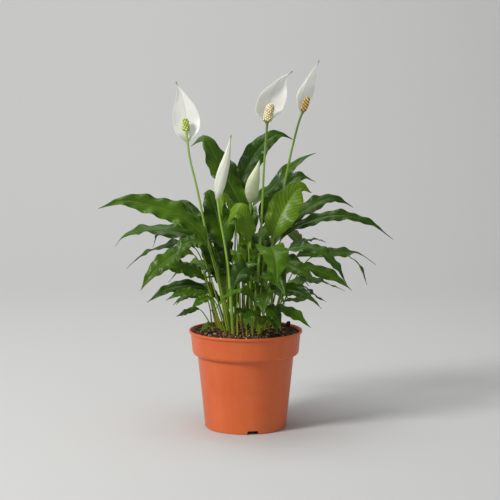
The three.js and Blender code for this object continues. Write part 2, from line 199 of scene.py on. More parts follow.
def grow(name, source, tree, values, sharp=None):
    # runs a tree on a source mesh and keeps the result as a plain mesh; sharp is in degrees
    holder = bpy.data.objects.new(name + ".source", source)
    bpy.context.scene.collection.objects.link(holder)
    modifier = holder.modifiers.new("grow", "NODES")
    modifier.node_group = tree
    for item in tree.interface.items_tree:
        if item.in_out == "INPUT" and item.name in values:
            modifier[item.identifier] = values[item.name]
    depsgraph = bpy.context.evaluated_depsgraph_get()
    mesh = bpy.data.meshes.new_from_object(holder.evaluated_get(depsgraph),
        preserve_all_data_layers=True, depsgraph=depsgraph)
    bpy.data.objects.remove(holder)
    mesh.name = name
    if sharp is not None:
        mesh.set_sharp_from_angle(angle=math.radians(sharp))
    return mesh


def addPiece(name, mesh, slot, *nodes):
    piece = bpy.data.objects.new(name, mesh)
    bpy.context.scene.collection.objects.link(piece)
    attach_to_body(piece, "root")
    if nodes:
        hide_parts(*nodes)
    return piece


# surface helpers

def newMaterial(name, **values):
    material = bpy.data.materials.new(name)
    material.use_nodes = True
    tree = material.node_tree
    shader = tree.nodes["Principled BSDF"]
    for key, value in values.items():
        shader.inputs[key].default_value = value
    return material, tree, shader


def objectPlace(tree):
    return step(tree, "ShaderNodeTexCoord", "Object")


def grain(tree, place, scale, detail, roughness=0.55, stretch=None):
    if stretch is not None:
        place = vectorMath(tree, "MULTIPLY", place, stretch)
    return step(tree, "ShaderNodeTexNoise", "Fac",
        Vector=place, Scale=scale, Detail=detail, Roughness=roughness)


def ramp(tree, value, stops):
    node = tree.nodes.new("ShaderNodeValToRGB")
    marks = node.color_ramp.elements
    while len(marks) < len(stops):
        marks.new(0.5)
    for mark, (place, color) in zip(marks, stops):
        mark.position = place
        mark.color = (*color, 1.0)
    feed(tree, node.inputs[0], value)
    return Field(tree, node.outputs[0])


def mix(tree, share, first, second):
    # in the color form of this node, inputs 0, 6 and 7 are the share and the two colors
    node = tree.nodes.new("ShaderNodeMix")
    node.data_type = "RGBA"
    node.clamp_factor = True
    for socket, value in ((node.inputs[0], share), (node.inputs[6], first), (node.inputs[7], second)):
        if isinstance(value, tuple):
            value = (*value, 1.0)
        feed(tree, socket, value)
    return Field(tree, node.outputs[2])


def bump(tree, height, distance, strength):
    return step(tree, "ShaderNodeBump", Height=height, Distance=distance, Strength=strength)


def readAttribute(tree, name, output="Fac"):
    node = tree.nodes.new("ShaderNodeAttribute")
    node.attribute_name = name
    return Field(tree, node.outputs[output])


def attach(tree, value, socket):
    tree.links.new(value.socket, socket)


def letLightThrough(tree, shader, color, share):
    through = tree.nodes.new("ShaderNodeBsdfTranslucent")
    attach(tree, color, through.inputs["Color"])
    blend = tree.nodes.new("ShaderNodeMixShader")
    blend.inputs[0].default_value = share
    tree.links.new(shader.outputs[0], blend.inputs[1])
    tree.links.new(through.outputs[0], blend.inputs[2])
    tree.links.new(blend.outputs[0], tree.nodes["Material Output"].inputs["Surface"])


def ringPlaces(radius, sides):
    turns = [2 * math.pi * k / sides for k in range(sides)]
    return [(radius * math.cos(turn), radius * math.sin(turn)) for turn in turns]


# camera, light and floor

studio = {
    "cameraPlace": (0.0065, -2.30, 0.5415),
    "cameraTilt": 6.8,
    "lens": 111.8,
    "sensor": 36.0,
    "floorColor": (0.56, 0.565, 0.56),
    "floorReach": 6.0,
    "bendStart": 1.4,
    "bendRadius": 1.6,
    "bendSteps": 12,
    "wallTop": 5.0,
    "skyLight": 0.33,
}
# place, target, watts, sides and color of each light
lights = {
    "keyLight": ((-1.9, -1.5, 1.9), (0, 0, 0.25), 66, (0.7, 0.7), (1.0, 0.985, 0.955)),
    "topLight": ((-0.3, 0.0, 2.3), (0, 0, 0.3), 12, (1.2, 1.0), (1, 1, 1)),
    "wallLight": ((-0.6, 0.9, 2.6), (0, 3.0, 0.9), 26, (1.6, 1.0), (1, 1, 1)),
    "fillLight": ((1.8, -2.2, 1.0), (0, 0, 0.25), 3, (1.5, 1.5), (1, 1, 1)),
}


def aimLight(name, place, target, power, size, color):
    data = bpy.data.lights.new(name, "AREA")
    data.energy = power
    data.color = color
    data.shape = "RECTANGLE"
    data.size, data.size_y = size
    lamp = bpy.data.objects.new(name, data)
    lamp.location = place
    lamp.rotation_euler = (Vector(target) - Vector(place)).to_track_quat("-Z", "Y").to_euler()
    bpy.context.scene.collection.objects.link(lamp)


def makeStudio():
    camera = bpy.data.objects.new("camera", bpy.data.cameras.new("camera"))
    camera.data.lens = studio["lens"]
    camera.data.sensor_width = studio["sensor"]
    camera.location = studio["cameraPlace"]
    camera.rotation_euler = (math.radians(90 - studio["cameraTilt"]), 0, 0)
    bpy.context.scene.collection.objects.link(camera)
    bpy.context.scene.camera = camera
    bpy.context.scene.view_settings.view_transform = "Standard"

    # the floor runs back and curves up into a wall behind
    reach, start, bend = studio["floorReach"], studio["bendStart"], studio["bendRadius"]
    profile = [(-reach, 0.0), (start, 0.0)]
    for i in range(1, studio["bendSteps"] + 1):
        turn = math.radians(90 * i / studio["bendSteps"])
        profile.append((start + bend * math.sin(turn), bend - bend * math.cos(turn)))
    profile.append((start + bend, studio["wallTop"]))
    vertices = [(x, y, z) for y, z in profile for x in (-reach, reach)]
    faces = [(2 * i, 2 * i + 1, 2 * i + 3, 2 * i + 2) for i in range(len(profile) - 1)]
    mesh = bpy.data.meshes.new("floor")
    mesh.from_pydata(vertices, [], faces)
    mesh.shade_smooth()
    floor = bpy.data.objects.new("floor", mesh)
    bpy.context.scene.collection.objects.link(floor)
    material, tree, shader = newMaterial("palePaper", Roughness=0.9)
    shader.inputs["Base Color"].default_value = (*studio["floorColor"], 1)
    mesh.materials.append(material)

    world = bpy.data.worlds.new("studioAir")
    world.use_nodes = True
    background = world.node_tree.nodes["Background"]
    background.inputs["Color"].default_value = (1, 1, 1, 1)
    background.inputs["Strength"].default_value = studio["skyLight"]
    bpy.context.scene.world = world
    for name, row in lights.items():
        aimLight(name, *row)


makeStudio()
print("studio done")


# the pot, sizes in mm
potValues = {
    "height": 147.5,
    "lipRadius": 85.0,
    "bandTop": 82.3,
    "bandBottom": 79.8,
    "bandDepth": 36.0,
    "bodyTop": 72.3,
    "base": 61.0,
    "wall": 1.9,
    "floor": 2.8,
    "footBevel": 1.2,
    "lipHeight": 3.6,
    "lipWidth": 2.3,
    "notchCount": 4,
    "notchAngle": -80.0,
    "notchWidth": 19.0,
    "notchHeight": 5.5,
    "notchDepth": 16.0,
    "notchDraft": 2.0,
    "sides": 192,
    "color": (0.72, 0.140, 0.031),
    "shade": (0.61, 0.106, 0.021),
    "dust": (0.62, 0.27, 0.14),
    "dustShare": 0.22,
    "roughness": 0.40,
}


def roundCorner(before, corner, after, radius, count=4):
    # replaces a profile's corner by a short arc of the given size
    corner = Vector(corner)
    first = (Vector(before) - corner).normalized() * radius + corner
    last = (Vector(after) - corner).normalized() * radius + corner
    result = []
    for i in range(count + 1):
        t = i / count
        result.append(first * (1 - t) ** 2 + corner * (2 * t * (1 - t)) + last * t ** 2)
    return [tuple(point) for point in result]


def roundedProfile(corners):
    # corners are (radius, height, rounding) rows in mm
    points = [corners[0][:2]]
    for i in range(1, len(corners) - 1):
        here = corners[i]
        if here[2] > 0:
            points += roundCorner(corners[i - 1][:2], here[:2], corners[i + 1][:2], here[2])
        else:
            points.append(here[:2])
    return points + [corners[-1][:2]]


def latheMesh(name, profile, sides):
    vertices, rings = [], []
    for radius, height in profile:
        if radius < 1e-6:
            rings.append([len(vertices)])
            vertices.append((0, 0, height * mm))
            continue
        rings.append(list(range(len(vertices), len(vertices) + sides)))
        vertices += [(x, y, height * mm) for x, y in ringPlaces(radius * mm, sides)]
    faces = []
    for low, high in zip(rings, rings[1:]):
        for k in range(sides):
            n = (k + 1) % sides
            if len(low) == 1:
                faces.append((low[0], high[n], high[k]))
            elif len(high) == 1:
                faces.append((low[k], low[n], high[0]))
            else:
                faces.append((low[k], low[n], high[n], high[k]))
    mesh = bpy.data.meshes.new(name)
    mesh.from_pydata(vertices, [], faces)
    return mesh


def notchCutter(turn):
    # a block with sloping sides that starts under the foot and ends outside the wall
    foot, top = potValues["notchWidth"] / 2, potValues["notchHeight"]
    level, narrow = foot - 0.6, foot - potValues["notchDraft"]
    outline = [(-foot, -3), (foot, -3), (level, 0), (narrow, top), (-narrow, top), (-level, 0)]
    near, far = potValues["base"] - potValues["notchDepth"], potValues["base"] + 5.0
    vertices = []
    for depth in (near, far):
        for across, up in outline:
            x = depth * math.cos(turn) - across * math.sin(turn)
            y = depth * math.sin(turn) + across * math.cos(turn)
            vertices.append((x * mm, y * mm, up * mm))
    count = len(outline)
    faces = [tuple(reversed(range(count))), tuple(range(count, 2 * count))]
    faces += [(k, (k + 1) % count, (k + 1) % count + count, k + count) for k in range(count)]
    mesh = bpy.data.meshes.new("notchCutter")
    mesh.from_pydata(vertices, [], faces)
    cutter = bpy.data.objects.new("notchCutter", mesh)
    bpy.context.scene.collection.objects.link(cutter)
    return cutter


def makePotMaterial():
    material, tree, shader = newMaterial("terracottaPlastic")
    place = objectPlace(tree)
    up = parts(tree, place)[2]
    broad = grain(tree, place, 9.0, 4.0)
    streaks = grain(tree, place, 60.0, 2.0, stretch=(1.0, 1.0, 0.06))
    rings = grain(tree, place, 220.0, 2.0, stretch=(0.05, 0.05, 1.0))
    fine = grain(tree, place, 900.0, 3.0)
    share = (broad - 0.5) * 1.6 + (streaks - 0.5) * 0.5 + 0.5
    color = ramp(tree, share, [(0.2, potValues["shade"]), (0.8, potValues["color"])])
    dust = grain(tree, place, 30.0, 6.0, 0.7)
    low = (1.0 - up * 30.0).clamp()
    dusty = ((dust - 0.5) * 2.0 + low * 0.5).clamp() * potValues["dustShare"]
    color = mix(tree, dusty, color, potValues["dust"])
    attach(tree, color, shader.inputs["Base Color"])
    rough = (broad - 0.5) * 0.18 + (fine - 0.5) * 0.12 + dusty * 0.4 + potValues["roughness"]
    attach(tree, rough, shader.inputs["Roughness"])
    height = rings * 0.5 + fine * 0.25 + streaks * 0.4
    attach(tree, bump(tree, height, 0.00012, 0.55), shader.inputs["Normal"])
    shader.inputs["Specular IOR Level"].default_value = 0.45
    return material


def makePot():
    v = potValues
    top, band = v["height"], v["height"] - v["bandDepth"]
    wall, bevel = v["wall"], v["footBevel"]
    # up the outside, over the lip and down the inside
    corners = [
        (0, 0, 0),
        (v["base"] - bevel, 0, 0),
        (v["base"], bevel, 0),
        (v["bodyTop"], band - 1.0, 0.9),
        (v["bandBottom"] - 1.9, band, 1.2),
        (v["bandBottom"], band + 3.2, 1.6),
        (v["bandTop"], top - 4.4, 0.8),
        (v["lipRadius"], top - v["lipHeight"], 0.7),
        (v["lipRadius"], top, 0.9),
        (v["lipRadius"] - v["lipWidth"], top, 0.8),
        (v["bandTop"] - wall, top - 5.0, 0.9),
        (v["bandBottom"] - wall, band + 4.6, 1.2),
        (v["bodyTop"] - wall, band + 1.4, 1.0),
        (v["base"] - wall, v["floor"], 1.0),
        (0, v["floor"], 0),
    ]
    turned = latheMesh("nurseryPot", roundedProfile(corners), v["sides"])
    pot = bpy.data.objects.new("nurseryPot", turned)
    bpy.context.scene.collection.objects.link(pot)
    cutters = []
    for i in range(v["notchCount"]):
        turn = math.radians(v["notchAngle"] + i * 360 / v["notchCount"])
        cutter = notchCutter(turn)
        cutters.append(cutter)
        modifier = pot.modifiers.new("notch", "BOOLEAN")
        modifier.operation = "DIFFERENCE"
        modifier.solver = "EXACT"
        modifier.object = cutter
    depsgraph = bpy.context.evaluated_depsgraph_get()
    mesh = bpy.data.meshes.new_from_object(pot.evaluated_get(depsgraph))
    for thing in (pot, *cutters):
        bpy.data.objects.remove(thing)
    mesh.materials.clear()
    mesh.materials.append(makePotMaterial())
    mesh.shade_smooth()
    mesh.set_sharp_from_angle(angle=math.radians(38))
    addPiece("nurseryPot", mesh, "terracotta", "pot")


makePot()
print("pot done")


# the potting mix: a lumpy bed, with crumbs, perlite and bark scattered over it

mixValues = {
    "edgeBelowLip": 3.0,
    "mound": 8.0,
    "radius": 79.6,
    "wallGap": 0.5,
    "clearEdge": 1.2,
    "lumps": 2.4,
    "rings": 60,
    "sides": 168,
    "scatterRings": 40,
    "scatterSides": 96,
    "seed": 7,
}
# What is scattered over the bed. Sizes, bumps and lift are in mm, turn is how far a grain tips
# in radians, and a front share above 0 gathers the grains towards the front.
scatterKinds = {
    "peatCrumbs": {"Count": 5200, "Smallest": 0.5, "Largest": 1.7, "Flatness": (1.1, 0.9, 0.75),
        "Bumps": 0.35, "Lift": 0.15, "Turn": 1.5, "Finish": "peat"},
    "perliteGrains": {"Count": 150, "Smallest": 0.35, "Largest": 1.5, "Flatness": (1.0, 0.9, 0.8),
        "Bumps": 0.3, "Lift": 0.75, "Turn": 1.5, "Front Share": 1.0, "Finish": "perliteGrain"},
    "barkChips": {"Count": 300, "Smallest": 1.0, "Largest": 2.6, "Flatness": (1.7, 0.7, 0.28),
        "Bumps": 0.3, "Lift": 0.9, "Turn": 0.45, "Front Share": 0.7, "Finish": "barkChip"},
}
# darkest color, lightest color and roughness of each finish
mixFinish = {
    "peat": ((0.012, 0.005, 0.0022), (0.125, 0.052, 0.022), 0.85),
    "perliteGrain": ((0.36, 0.28, 0.19), (0.85, 0.80, 0.72), 0.8),
    "barkChip": ((0.075, 0.028, 0.012), (0.36, 0.19, 0.09), 0.8),
    "driedPlant": ((0.075, 0.030, 0.012), (0.30, 0.14, 0.055), 0.75),
    "darkBark": ((0.010, 0.005, 0.003), (0.075, 0.036, 0.018), 0.85),
}


def mixHeight(x, y):
    # height of the bed in mm at a place in mm
    radius = math.hypot(x, y)
    share = min(radius / mixValues["radius"], 1.0)
    height = potValues["height"] - mixValues["edgeBelowLip"] + mixValues["mound"] * (1 - share ** 2)
    place = Vector((x, y, 3.0))
    lump = noise.noise(place * 0.06) + 0.5 * noise.noise(place * 0.17) + 0.3 * noise.noise(place * 0.45)
    return height + mixValues["lumps"] * 0.5 * lump * (1.0 - 0.6 * share ** 8)


def mixBed():
    rings, sides = mixValues["rings"], mixValues["sides"]
    shell = bmesh.new()
    center = shell.verts.new((0, 0, mixHeight(0, 0) * mm))
    rows = []
    for i in range(1, rings + 1):
        places = ringPlaces(mixValues["radius"] * i / rings, sides)
        rows.append([shell.verts.new((x * mm, y * mm, mixHeight(x, y) * mm)) for x, y in places])
    # the rest follows the inside of the pot, clear of its wall
    band = potValues["height"] - potValues["bandDepth"]
    inset = potValues["wall"] + mixValues["wallGap"]
    lower = (
        (potValues["bandBottom"] - inset - 0.2, band + 5.2),
        (potValues["bodyTop"] - inset, band + 2.0),
        (potValues["base"] - inset, potValues["floor"] + 0.4),
    )
    for radius, height in lower:
        places = ringPlaces(radius * mm, sides)
        rows.append([shell.verts.new((x, y, height * mm)) for x, y in places])
    for k in range(sides):
        n = (k + 1) % sides
        shell.faces.new((center, rows[0][k], rows[0][n]))
        for near, far in zip(rows, rows[1:]):
            shell.faces.new((near[k], far[k], far[n], near[n]))
    shell.faces.new(list(reversed(rows[-1])))
    mesh = bpy.data.meshes.new("pottingMix")
    shell.to_mesh(mesh)
    shell.free()
    mesh.shade_smooth()
    return mesh


def scatterSurface():
    # the part of the bed that crumbs may lie on
    rings, sides = mixValues["scatterRings"], mixValues["scatterSides"]
    vertices = [(0, 0, mixHeight(0, 0) * mm)]
    for i in range(1, rings + 1):
        places = ringPlaces((mixValues["radius"] - mixValues["clearEdge"]) * i / rings, sides)
        vertices += [(x * mm, y * mm, mixHeight(x, y) * mm) for x, y in places]
    faces = [(0, 1 + k, 1 + (k + 1) % sides) for k in range(sides)]
    for i in range(rings - 1):
        for k in range(sides):
            n = (k + 1) % sides
            a, b = 1 + i * sides, 1 + (i + 1) * sides
            faces.append((a + k, b + k, b + n, a + n))
    mesh = bpy.data.meshes.new("scatterSurface")
    mesh.from_pydata(vertices, [], faces)
    return mesh


def makeScatterTree():
    tree, given = newTree("scatterOnMix", {
        "Count": 1000, "Seed": 1, "Smallest": 0.5, "Largest": 1.5, "Flatness": (1.0, 1.0, 1.0),
        "Bumps": 0.3, "Lift": 0.2, "Turn": 0.8, "Front Share": 0.0, "Finish": "",
    })
    area = math.pi * ((mixValues["radius"] - mixValues["clearEdge"]) * mm) ** 2
    place = step(tree, "GeometryNodeInputPosition")
    back = parts(tree, place)[1]
    front = (0.5 - back * 14.0 * given["Front Share"]).clamp() * 2.0
    spread = step(tree, "GeometryNodeDistributePointsOnFaces", settings={"distribute_method": "RANDOM"},
        Mesh=given["Geometry"], Density=given["Count"] * front / area, Seed=given["Seed"])
    ball = step(tree, "GeometryNodeMeshIcoSphere", Radius=1.0, Subdivisions=1)
    size = randomValue(tree, given["Smallest"], given["Largest"], given["Seed"] + 3)
    turn = randomValue(tree, (-1.0, -1.0, -3.14), (1.0, 1.0, 3.14), given["Seed"] + 5)
    turn = vectorMath(tree, "MULTIPLY", turn, combine(tree, given["Turn"], given["Turn"], 1.0))
    turn = step(tree, "FunctionNodeEulerToRotation", Euler=turn)
    stretch = randomValue(tree, (0.65, 0.65, 0.6), (1.35, 1.35, 1.1), given["Seed"] + 9)
    shape = vectorMath(tree, "MULTIPLY", stretch, given["Flatness"])
    shape = scaled(tree, shape, size * mm)
    grains = step(tree, "GeometryNodeInstanceOnPoints",
        Points=spread, Instance=ball, Rotation=turn, Scale=shape)
    tone = randomValue(tree, 0.0, 1.0, given["Seed"] + 11)
    grains = store(tree, grains, "tone", "FLOAT", tone, "INSTANCE")
    grains = step(tree, "GeometryNodeRealizeInstances", Geometry=grains)
    rough = step(tree, "ShaderNodeTexNoise", "Color", Vector=place, Scale=420.0, Detail=1.0)
    rough = vectorMath(tree, "SUBTRACT", rough, (0.5, 0.5, 0.5))
    push = vectorMath(tree, "ADD", scaled(tree, rough, given["Bumps"] * mm * 4.0),
        combine(tree, 0.0, 0.0, given["Lift"] * mm))
    grains = step(tree, "GeometryNodeSetPosition", Geometry=grains, Offset=push)
    endTree(tree, grains, given["Finish"])
    return tree


def makeMixMaterial(name):
    dark, light, roughness = mixFinish[name]
    material, tree, shader = newMaterial(name)
    place = objectPlace(tree)
    clump = grain(tree, place, 130.0, 5.0, 0.65)
    dots = grain(tree, place, 900.0, 4.0, 0.7)
    tone = readAttribute(tree, "tone")
    share = (clump - 0.5) * 1.3 + (dots - 0.5) * 0.8 + tone * 0.35 + 0.35
    attach(tree, ramp(tree, share, [(0.15, dark), (0.9, light)]), shader.inputs["Base Color"])
    attach(tree, (dots - 0.5) * 0.3 + roughness, shader.inputs["Roughness"])
    attach(tree, bump(tree, clump * 0.4 + dots, 0.0006, 0.8), shader.inputs["Normal"])
    shader.inputs["Specular IOR Level"].default_value = 0.3
    return material


def makePottingMix():
    finishes = {name: makeMixMaterial(name) for name in ("peat", "perliteGrain", "barkChip")}
    bed = mixBed()
    bed.materials.append(finishes["peat"])
    addPiece("pottingMixBed", bed, "potting_mix", "potting_mix")
    tree = makeScatterTree()
    surface = scatterSurface()
    for number, (name, row) in enumerate(scatterKinds.items()):
        values = {**row, "Seed": mixValues["seed"] + number, "Finish": finishes[row["Finish"]]}
        addPiece(name, grow(name, surface.copy(), tree, values, sharp=50), "potting_mix")


makePottingMix()
print("potting mix done")


# Midribs are curves that rise from the mix in one upright plane.
# foot is (x, y) on the mix in mm. heading is the compass direction, 0 along +X and 90 along
# +Y. spine lists (reach, height) in mm, and its first point is where the blade starts.
pathValues = {
    "footDepth": 2.0,
    "stepsPerSpan": 24,
    "leafSteps": 72,
    "stalkSteps": 90,
    "rootSteps": 40,
    "spadixSteps": 30,
}


def smoothPath(points, count=pathValues["leafSteps"]):
    # a centripetal Catmull-Rom curve through the points, at even steps of length
    points = [Vector(point) for point in points]
    ends = [points[0] * 2 - points[1]] + points + [points[-1] * 2 - points[-2]]
    dense = []
    for a, b, c, d in zip(ends, ends[1:], ends[2:], ends[3:]):
        gaps = [max((q - p).length_squared ** 0.25, 1e-6) for p, q in ((a, b), (b, c), (c, d))]
        t0, t1 = 0.0, gaps[0]
        t2 = t1 + gaps[1]
        t3 = t2 + gaps[2]
        for i in range(pathValues["stepsPerSpan"]):
            t = t1 + (t2 - t1) * i / pathValues["stepsPerSpan"]
            first = a * ((t1 - t) / (t1 - t0)) + b * ((t - t0) / (t1 - t0))
            second = b * ((t2 - t) / (t2 - t1)) + c * ((t - t1) / (t2 - t1))
            third = c * ((t3 - t) / (t3 - t2)) + d * ((t - t2) / (t3 - t2))
            low = first * ((t2 - t) / (t2 - t0)) + second * ((t - t0) / (t2 - t0))
            high = second * ((t3 - t) / (t3 - t1)) + third * ((t - t1) / (t3 - t1))
            dense.append(low * ((t2 - t) / (t2 - t1)) + high * ((t - t1) / (t2 - t1)))
    dense.append(points[-1].copy())
    lengths = [0.0]
    for p, q in zip(dense, dense[1:]):
        lengths.append(lengths[-1] + (q - p).length)
    even, at = [], 0
    for i in range(count + 1):
        goal = lengths[-1] * i / count
        while at < len(lengths) - 2 and lengths[at + 1] < goal:
            at += 1
        span = max(lengths[at + 1] - lengths[at], 1e-9)
        even.append(dense[at].lerp(dense[at + 1], min((goal - lengths[at]) / span, 1.0)))
    return even


def riseFrom(foot, heading, spine):
    turn = math.radians(heading)
    x, y = foot
    points = [Vector((x, y, mixHeight(x, y) - pathValues["footDepth"])) * mm]
    for reach, height in spine:
        place = Vector((x + reach * math.cos(turn), y + reach * math.sin(turn), height))
        points.append(place * mm)
    return points


def sideways(heading):
    # the level direction to the left of a compass heading
    turn = math.radians(heading)
    return (-math.sin(turn), math.cos(turn), 0.0)


def bladeShare(points):
    # how far along the path its second point lies
    path = smoothPath(points)
    near = min(range(len(path)), key=lambda i: (path[i] - points[1]).length)
    return near / (len(path) - 1)


def pathMesh(name, points):
    mesh = bpy.data.meshes.new(name)
    mesh.from_pydata(points, [(i, i + 1) for i in range(len(points) - 1)], [])
    return mesh


# leaf and spathe blades

def turnAbout(tree, along, side, roll):
    # directions across a blade and out of its face, turned about its path
    upper = vectorMath(tree, "NORMALIZE", vectorMath(tree, "CROSS_PRODUCT", along, side))
    if roll is None:
        return side, upper
    across = addUp(tree, scaled(tree, side, roll.cos()), scaled(tree, upper, roll.sin()))
    normal = addUp(tree, scaled(tree, upper, roll.cos()), scaled(tree, side, roll.sin() * -1.0))
    return across, normal


def frameOnPath(tree, curve, share, side, roll=None):
    # a place on a curve, and the directions along, across and out of it there
    spot = tree.nodes.new("GeometryNodeSampleCurve")
    spot.mode = "FACTOR"
    feed(tree, spot.inputs["Curves"], curve)
    feed(tree, spot.inputs["Factor"], share)
    place = Field(tree, spot.outputs["Position"])
    along = Field(tree, spot.outputs["Tangent"])
    return place, along, *turnAbout(tree, along, side, roll)


def bladeGrid(tree, alongCount, acrossCount):
    # a flat grid with x from 0 to 1 along a blade and y from -1 to 1 across it, which are
    # kept in its bladeWhere attribute and come back as fields t and s
    grid = step(tree, "GeometryNodeMeshGrid",
        SizeX=1.0, SizeY=2.0, VerticesX=alongCount, VerticesY=acrossCount)
    x, y = parts(tree, step(tree, "GeometryNodeInputPosition"))[:2]
    grid = store(tree, grid, "bladeWhere", "FLOAT_VECTOR", combine(tree, x + 0.5, y, 0.0))
    where = step(tree, "GeometryNodeInputNamedAttribute", settings={"data_type": "FLOAT_VECTOR"},
        output="Attribute", Name="bladeWhere")
    return grid, *parts(tree, where)[:2]


def thicken(tree, sheet, thickness):
    # gives a sheet an underside and a rim, and its underside gets under = 1
    flipped = step(tree, "GeometryNodeFlipFaces", Mesh=sheet)
    push = tree.nodes.new("GeometryNodeExtrudeMesh")
    push.mode = "FACES"
    feed(tree, push.inputs["Mesh"], flipped)
    feed(tree, push.inputs["Offset Scale"], thickness)
    push.inputs["Individual"].default_value = False
    shell = Field(tree, push.outputs["Mesh"])
    shell = step(tree, "GeometryNodeStoreNamedAttribute",
        settings={"data_type": "FLOAT", "domain": "FACE"},
        Geometry=shell, Selection=Field(tree, push.outputs["Top"]), Name="under", Value=1.0)
    whole = join(tree, sheet, shell)
    return step(tree, "GeometryNodeMergeByDistance", Geometry=whole, Distance=0.002 * mm)


def sweep(tree, curve, radius, sides):
    # a round stem along a curve
    curve = step(tree, "GeometryNodeSetCurveRadius", Curve=curve, Radius=radius)
    ring = step(tree, "GeometryNodeCurvePrimitiveCircle", output="Curve", Resolution=sides, Radius=1.0)
    width = step(tree, "GeometryNodeInputRadius")
    return step(tree, "GeometryNodeCurveToMesh",
        Curve=curve, ProfileCurve=ring, Scale=width, FillCaps=True)


leafShape = {
    "outline": [(0.0, 0.05), (0.08, 0.42), (0.2, 0.80), (0.38, 1.0), (0.58, 0.90),
        (0.75, 0.55), (0.86, 0.26), (0.93, 0.11), (1.0, 0.012)],
    "thickness": 0.55,
    "alongCount": 110,
    "acrossCount": 29,
    "stalkSides": 10,
    "stalkFoot": 2.0,
    "stalkTop": 0.95,
    "ribTaper": 0.84,
    "kneePlace": 0.955,
    "kneeSize": 0.16,
    "rollPace": 5.1,
    "rollSwing": 0.10,
    "swayPace": 3.6,
    "swaySwing": 0.09,
    "coarseNibble": (19.0, 0.035),
    "fineNibble": (43.0, 0.018),
    "veins": 15.0,
    "veinSweep": 3.4,
    "veinDepth": 0.34,
}


def leafRoll(given, t):
    # a blade turns a little from side to side as well as by its own twist
    swing = (t * leafShape["rollPace"] + given["Phase"]).sin() * leafShape["rollSwing"]
    return given["Roll"] + given["Twist"] * t + swing


def leafSway(given, t):
    # how far a blade and its midrib wander sideways
    wander = (t * leafShape["swayPace"] + given["Phase"]).sin() * leafShape["swaySwing"]
    return wander * given["Blade Width"] * t


def leafVeins(t, out):
    # 0 on a side vein and 1 half way to the next, and they sweep towards the tip
    sweepBack = out * leafShape["veinSweep"] * (1.15 - t * 0.4)
    return ((t * leafShape["veins"] - sweepBack) * math.pi).sin().abs()


def makeLeafTree():
    tree, given = newTree("leafOnMidrib", {
        "Blade Start": 0.5, "Side": (0.0, 1.0, 0.0), "Blade Width": 0.03, "Roll": 0.0, "Twist": 0.0,
        "Fold": 0.35, "Droop": 0.3, "Ripple": 0.12, "Waves": 2.3, "Phase": 0.0, "Tone": 0.5,
        "Stalk Foot": leafShape["stalkFoot"] * mm, "Stalk Top": leafShape["stalkTop"] * mm,
        "Vein Depth": leafShape["veinDepth"] * mm, "Thickness": leafShape["thickness"] * mm, "Finish": "",
    })
    curve = step(tree, "GeometryNodeMeshToCurve", Mesh=given["Geometry"])
    start = given["Blade Start"]

    grid, t, s = bladeGrid(tree, leafShape["alongCount"], leafShape["acrossCount"])
    out = s.abs()
    share = start + t * (1.0 - start)
    place, along, across, normal = frameOnPath(tree, curve, share, given["Side"], leafRoll(given, t))
    half = floatCurve(tree, t, leafShape["outline"]) * given["Blade Width"] * 0.5
    # an uneven margin
    (coarse, coarseSize), (fine, fineSize) = leafShape["coarseNibble"], leafShape["fineNibble"]
    nibble = (t * coarse + given["Phase"] * 3.0 + s * 2.0).sin() * coarseSize
    nibble = nibble + (t * fine + given["Phase"]).sin() * fineSize
    half = half * (nibble * (out * 2.0).clamp() + 1.0)
    # a fold along the midrib, drooping edges, a rippled margin and quilting between the veins
    fold = ((out * out + 0.02) ** 0.5 - 0.14) * given["Fold"]
    droop = out * out * given["Droop"] * -1.0
    leftRight = s * 1.1
    wave = (t * given["Waves"] * 6.283 + given["Phase"] + leftRight).sin() * 0.7
    wave = wave + (t * given["Waves"] * 13.7 + given["Phase"] * 2.0 - leftRight * 1.7).sin() * 0.45
    ripple = wave * out * out * given["Ripple"]
    lift = (fold + droop + ripple) * half
    quilt = (leafVeins(t, out) ** 0.6 - 0.65) * given["Vein Depth"]
    quilt = quilt * (out * 6.0).clamp() * ((1.0 - out) * 3.5).clamp()
    channel = ((out * -14.0).math("EXPONENT")) * given["Vein Depth"] * -1.6
    endFade = ((1.0 - t) * 6.0).clamp() * (t * 14.0).clamp()
    lift = lift + (quilt + channel) * endFade
    spread = s * half + leafSway(given, t)
    place = addUp(tree, place, scaled(tree, across, spread), scaled(tree, normal, lift))
    grid = step(tree, "GeometryNodeSetPosition", Geometry=grid, Position=place)
    blade = thicken(tree, grid, given["Thickness"])

    # the stalk, and the midrib that runs on under the blade
    factor = step(tree, "GeometryNodeSplineParameter", output="Factor")
    stalkPart = (factor / start).clamp()
    bladePart = ((factor - start) / (1.0 - start)).clamp()
    reach = given["Stalk Foot"] + (given["Stalk Top"] - given["Stalk Foot"]) * (stalkPart ** 0.55)
    radius = reach - given["Stalk Top"] * leafShape["ribTaper"] * (bladePart ** 0.5)
    knee = ((stalkPart - leafShape["kneePlace"]) * 40.0)
    knee = (knee * knee * -1.0).math("EXPONENT") * given["Stalk Top"] * leafShape["kneeSize"]
    here = step(tree, "GeometryNodeInputPosition")
    tangent = step(tree, "GeometryNodeInputTangent")
    ribAcross, ribNormal = turnAbout(tree, tangent, given["Side"], leafRoll(given, bladePart))
    ribSway = leafSway(given, bladePart)
    sink = (radius * 0.72 + given["Thickness"] * 0.5) * (bladePart * 9.0).clamp() * -1.0
    # the third part of bladeWhere tells a stalk from a blade
    curve = store(tree, curve, "bladeWhere", "FLOAT_VECTOR", combine(tree, factor, bladePart, 1.0))
    ribPlace = addUp(tree, here, scaled(tree, ribAcross, ribSway), scaled(tree, ribNormal, sink))
    curve = step(tree, "GeometryNodeSetPosition", Geometry=curve, Position=ribPlace)
    whole = join(tree, blade, sweep(tree, curve, radius + knee, leafShape["stalkSides"]))
    whole = store(tree, whole, "tone", "FLOAT", given["Tone"])
    endTree(tree, whole, given["Finish"])
    return tree


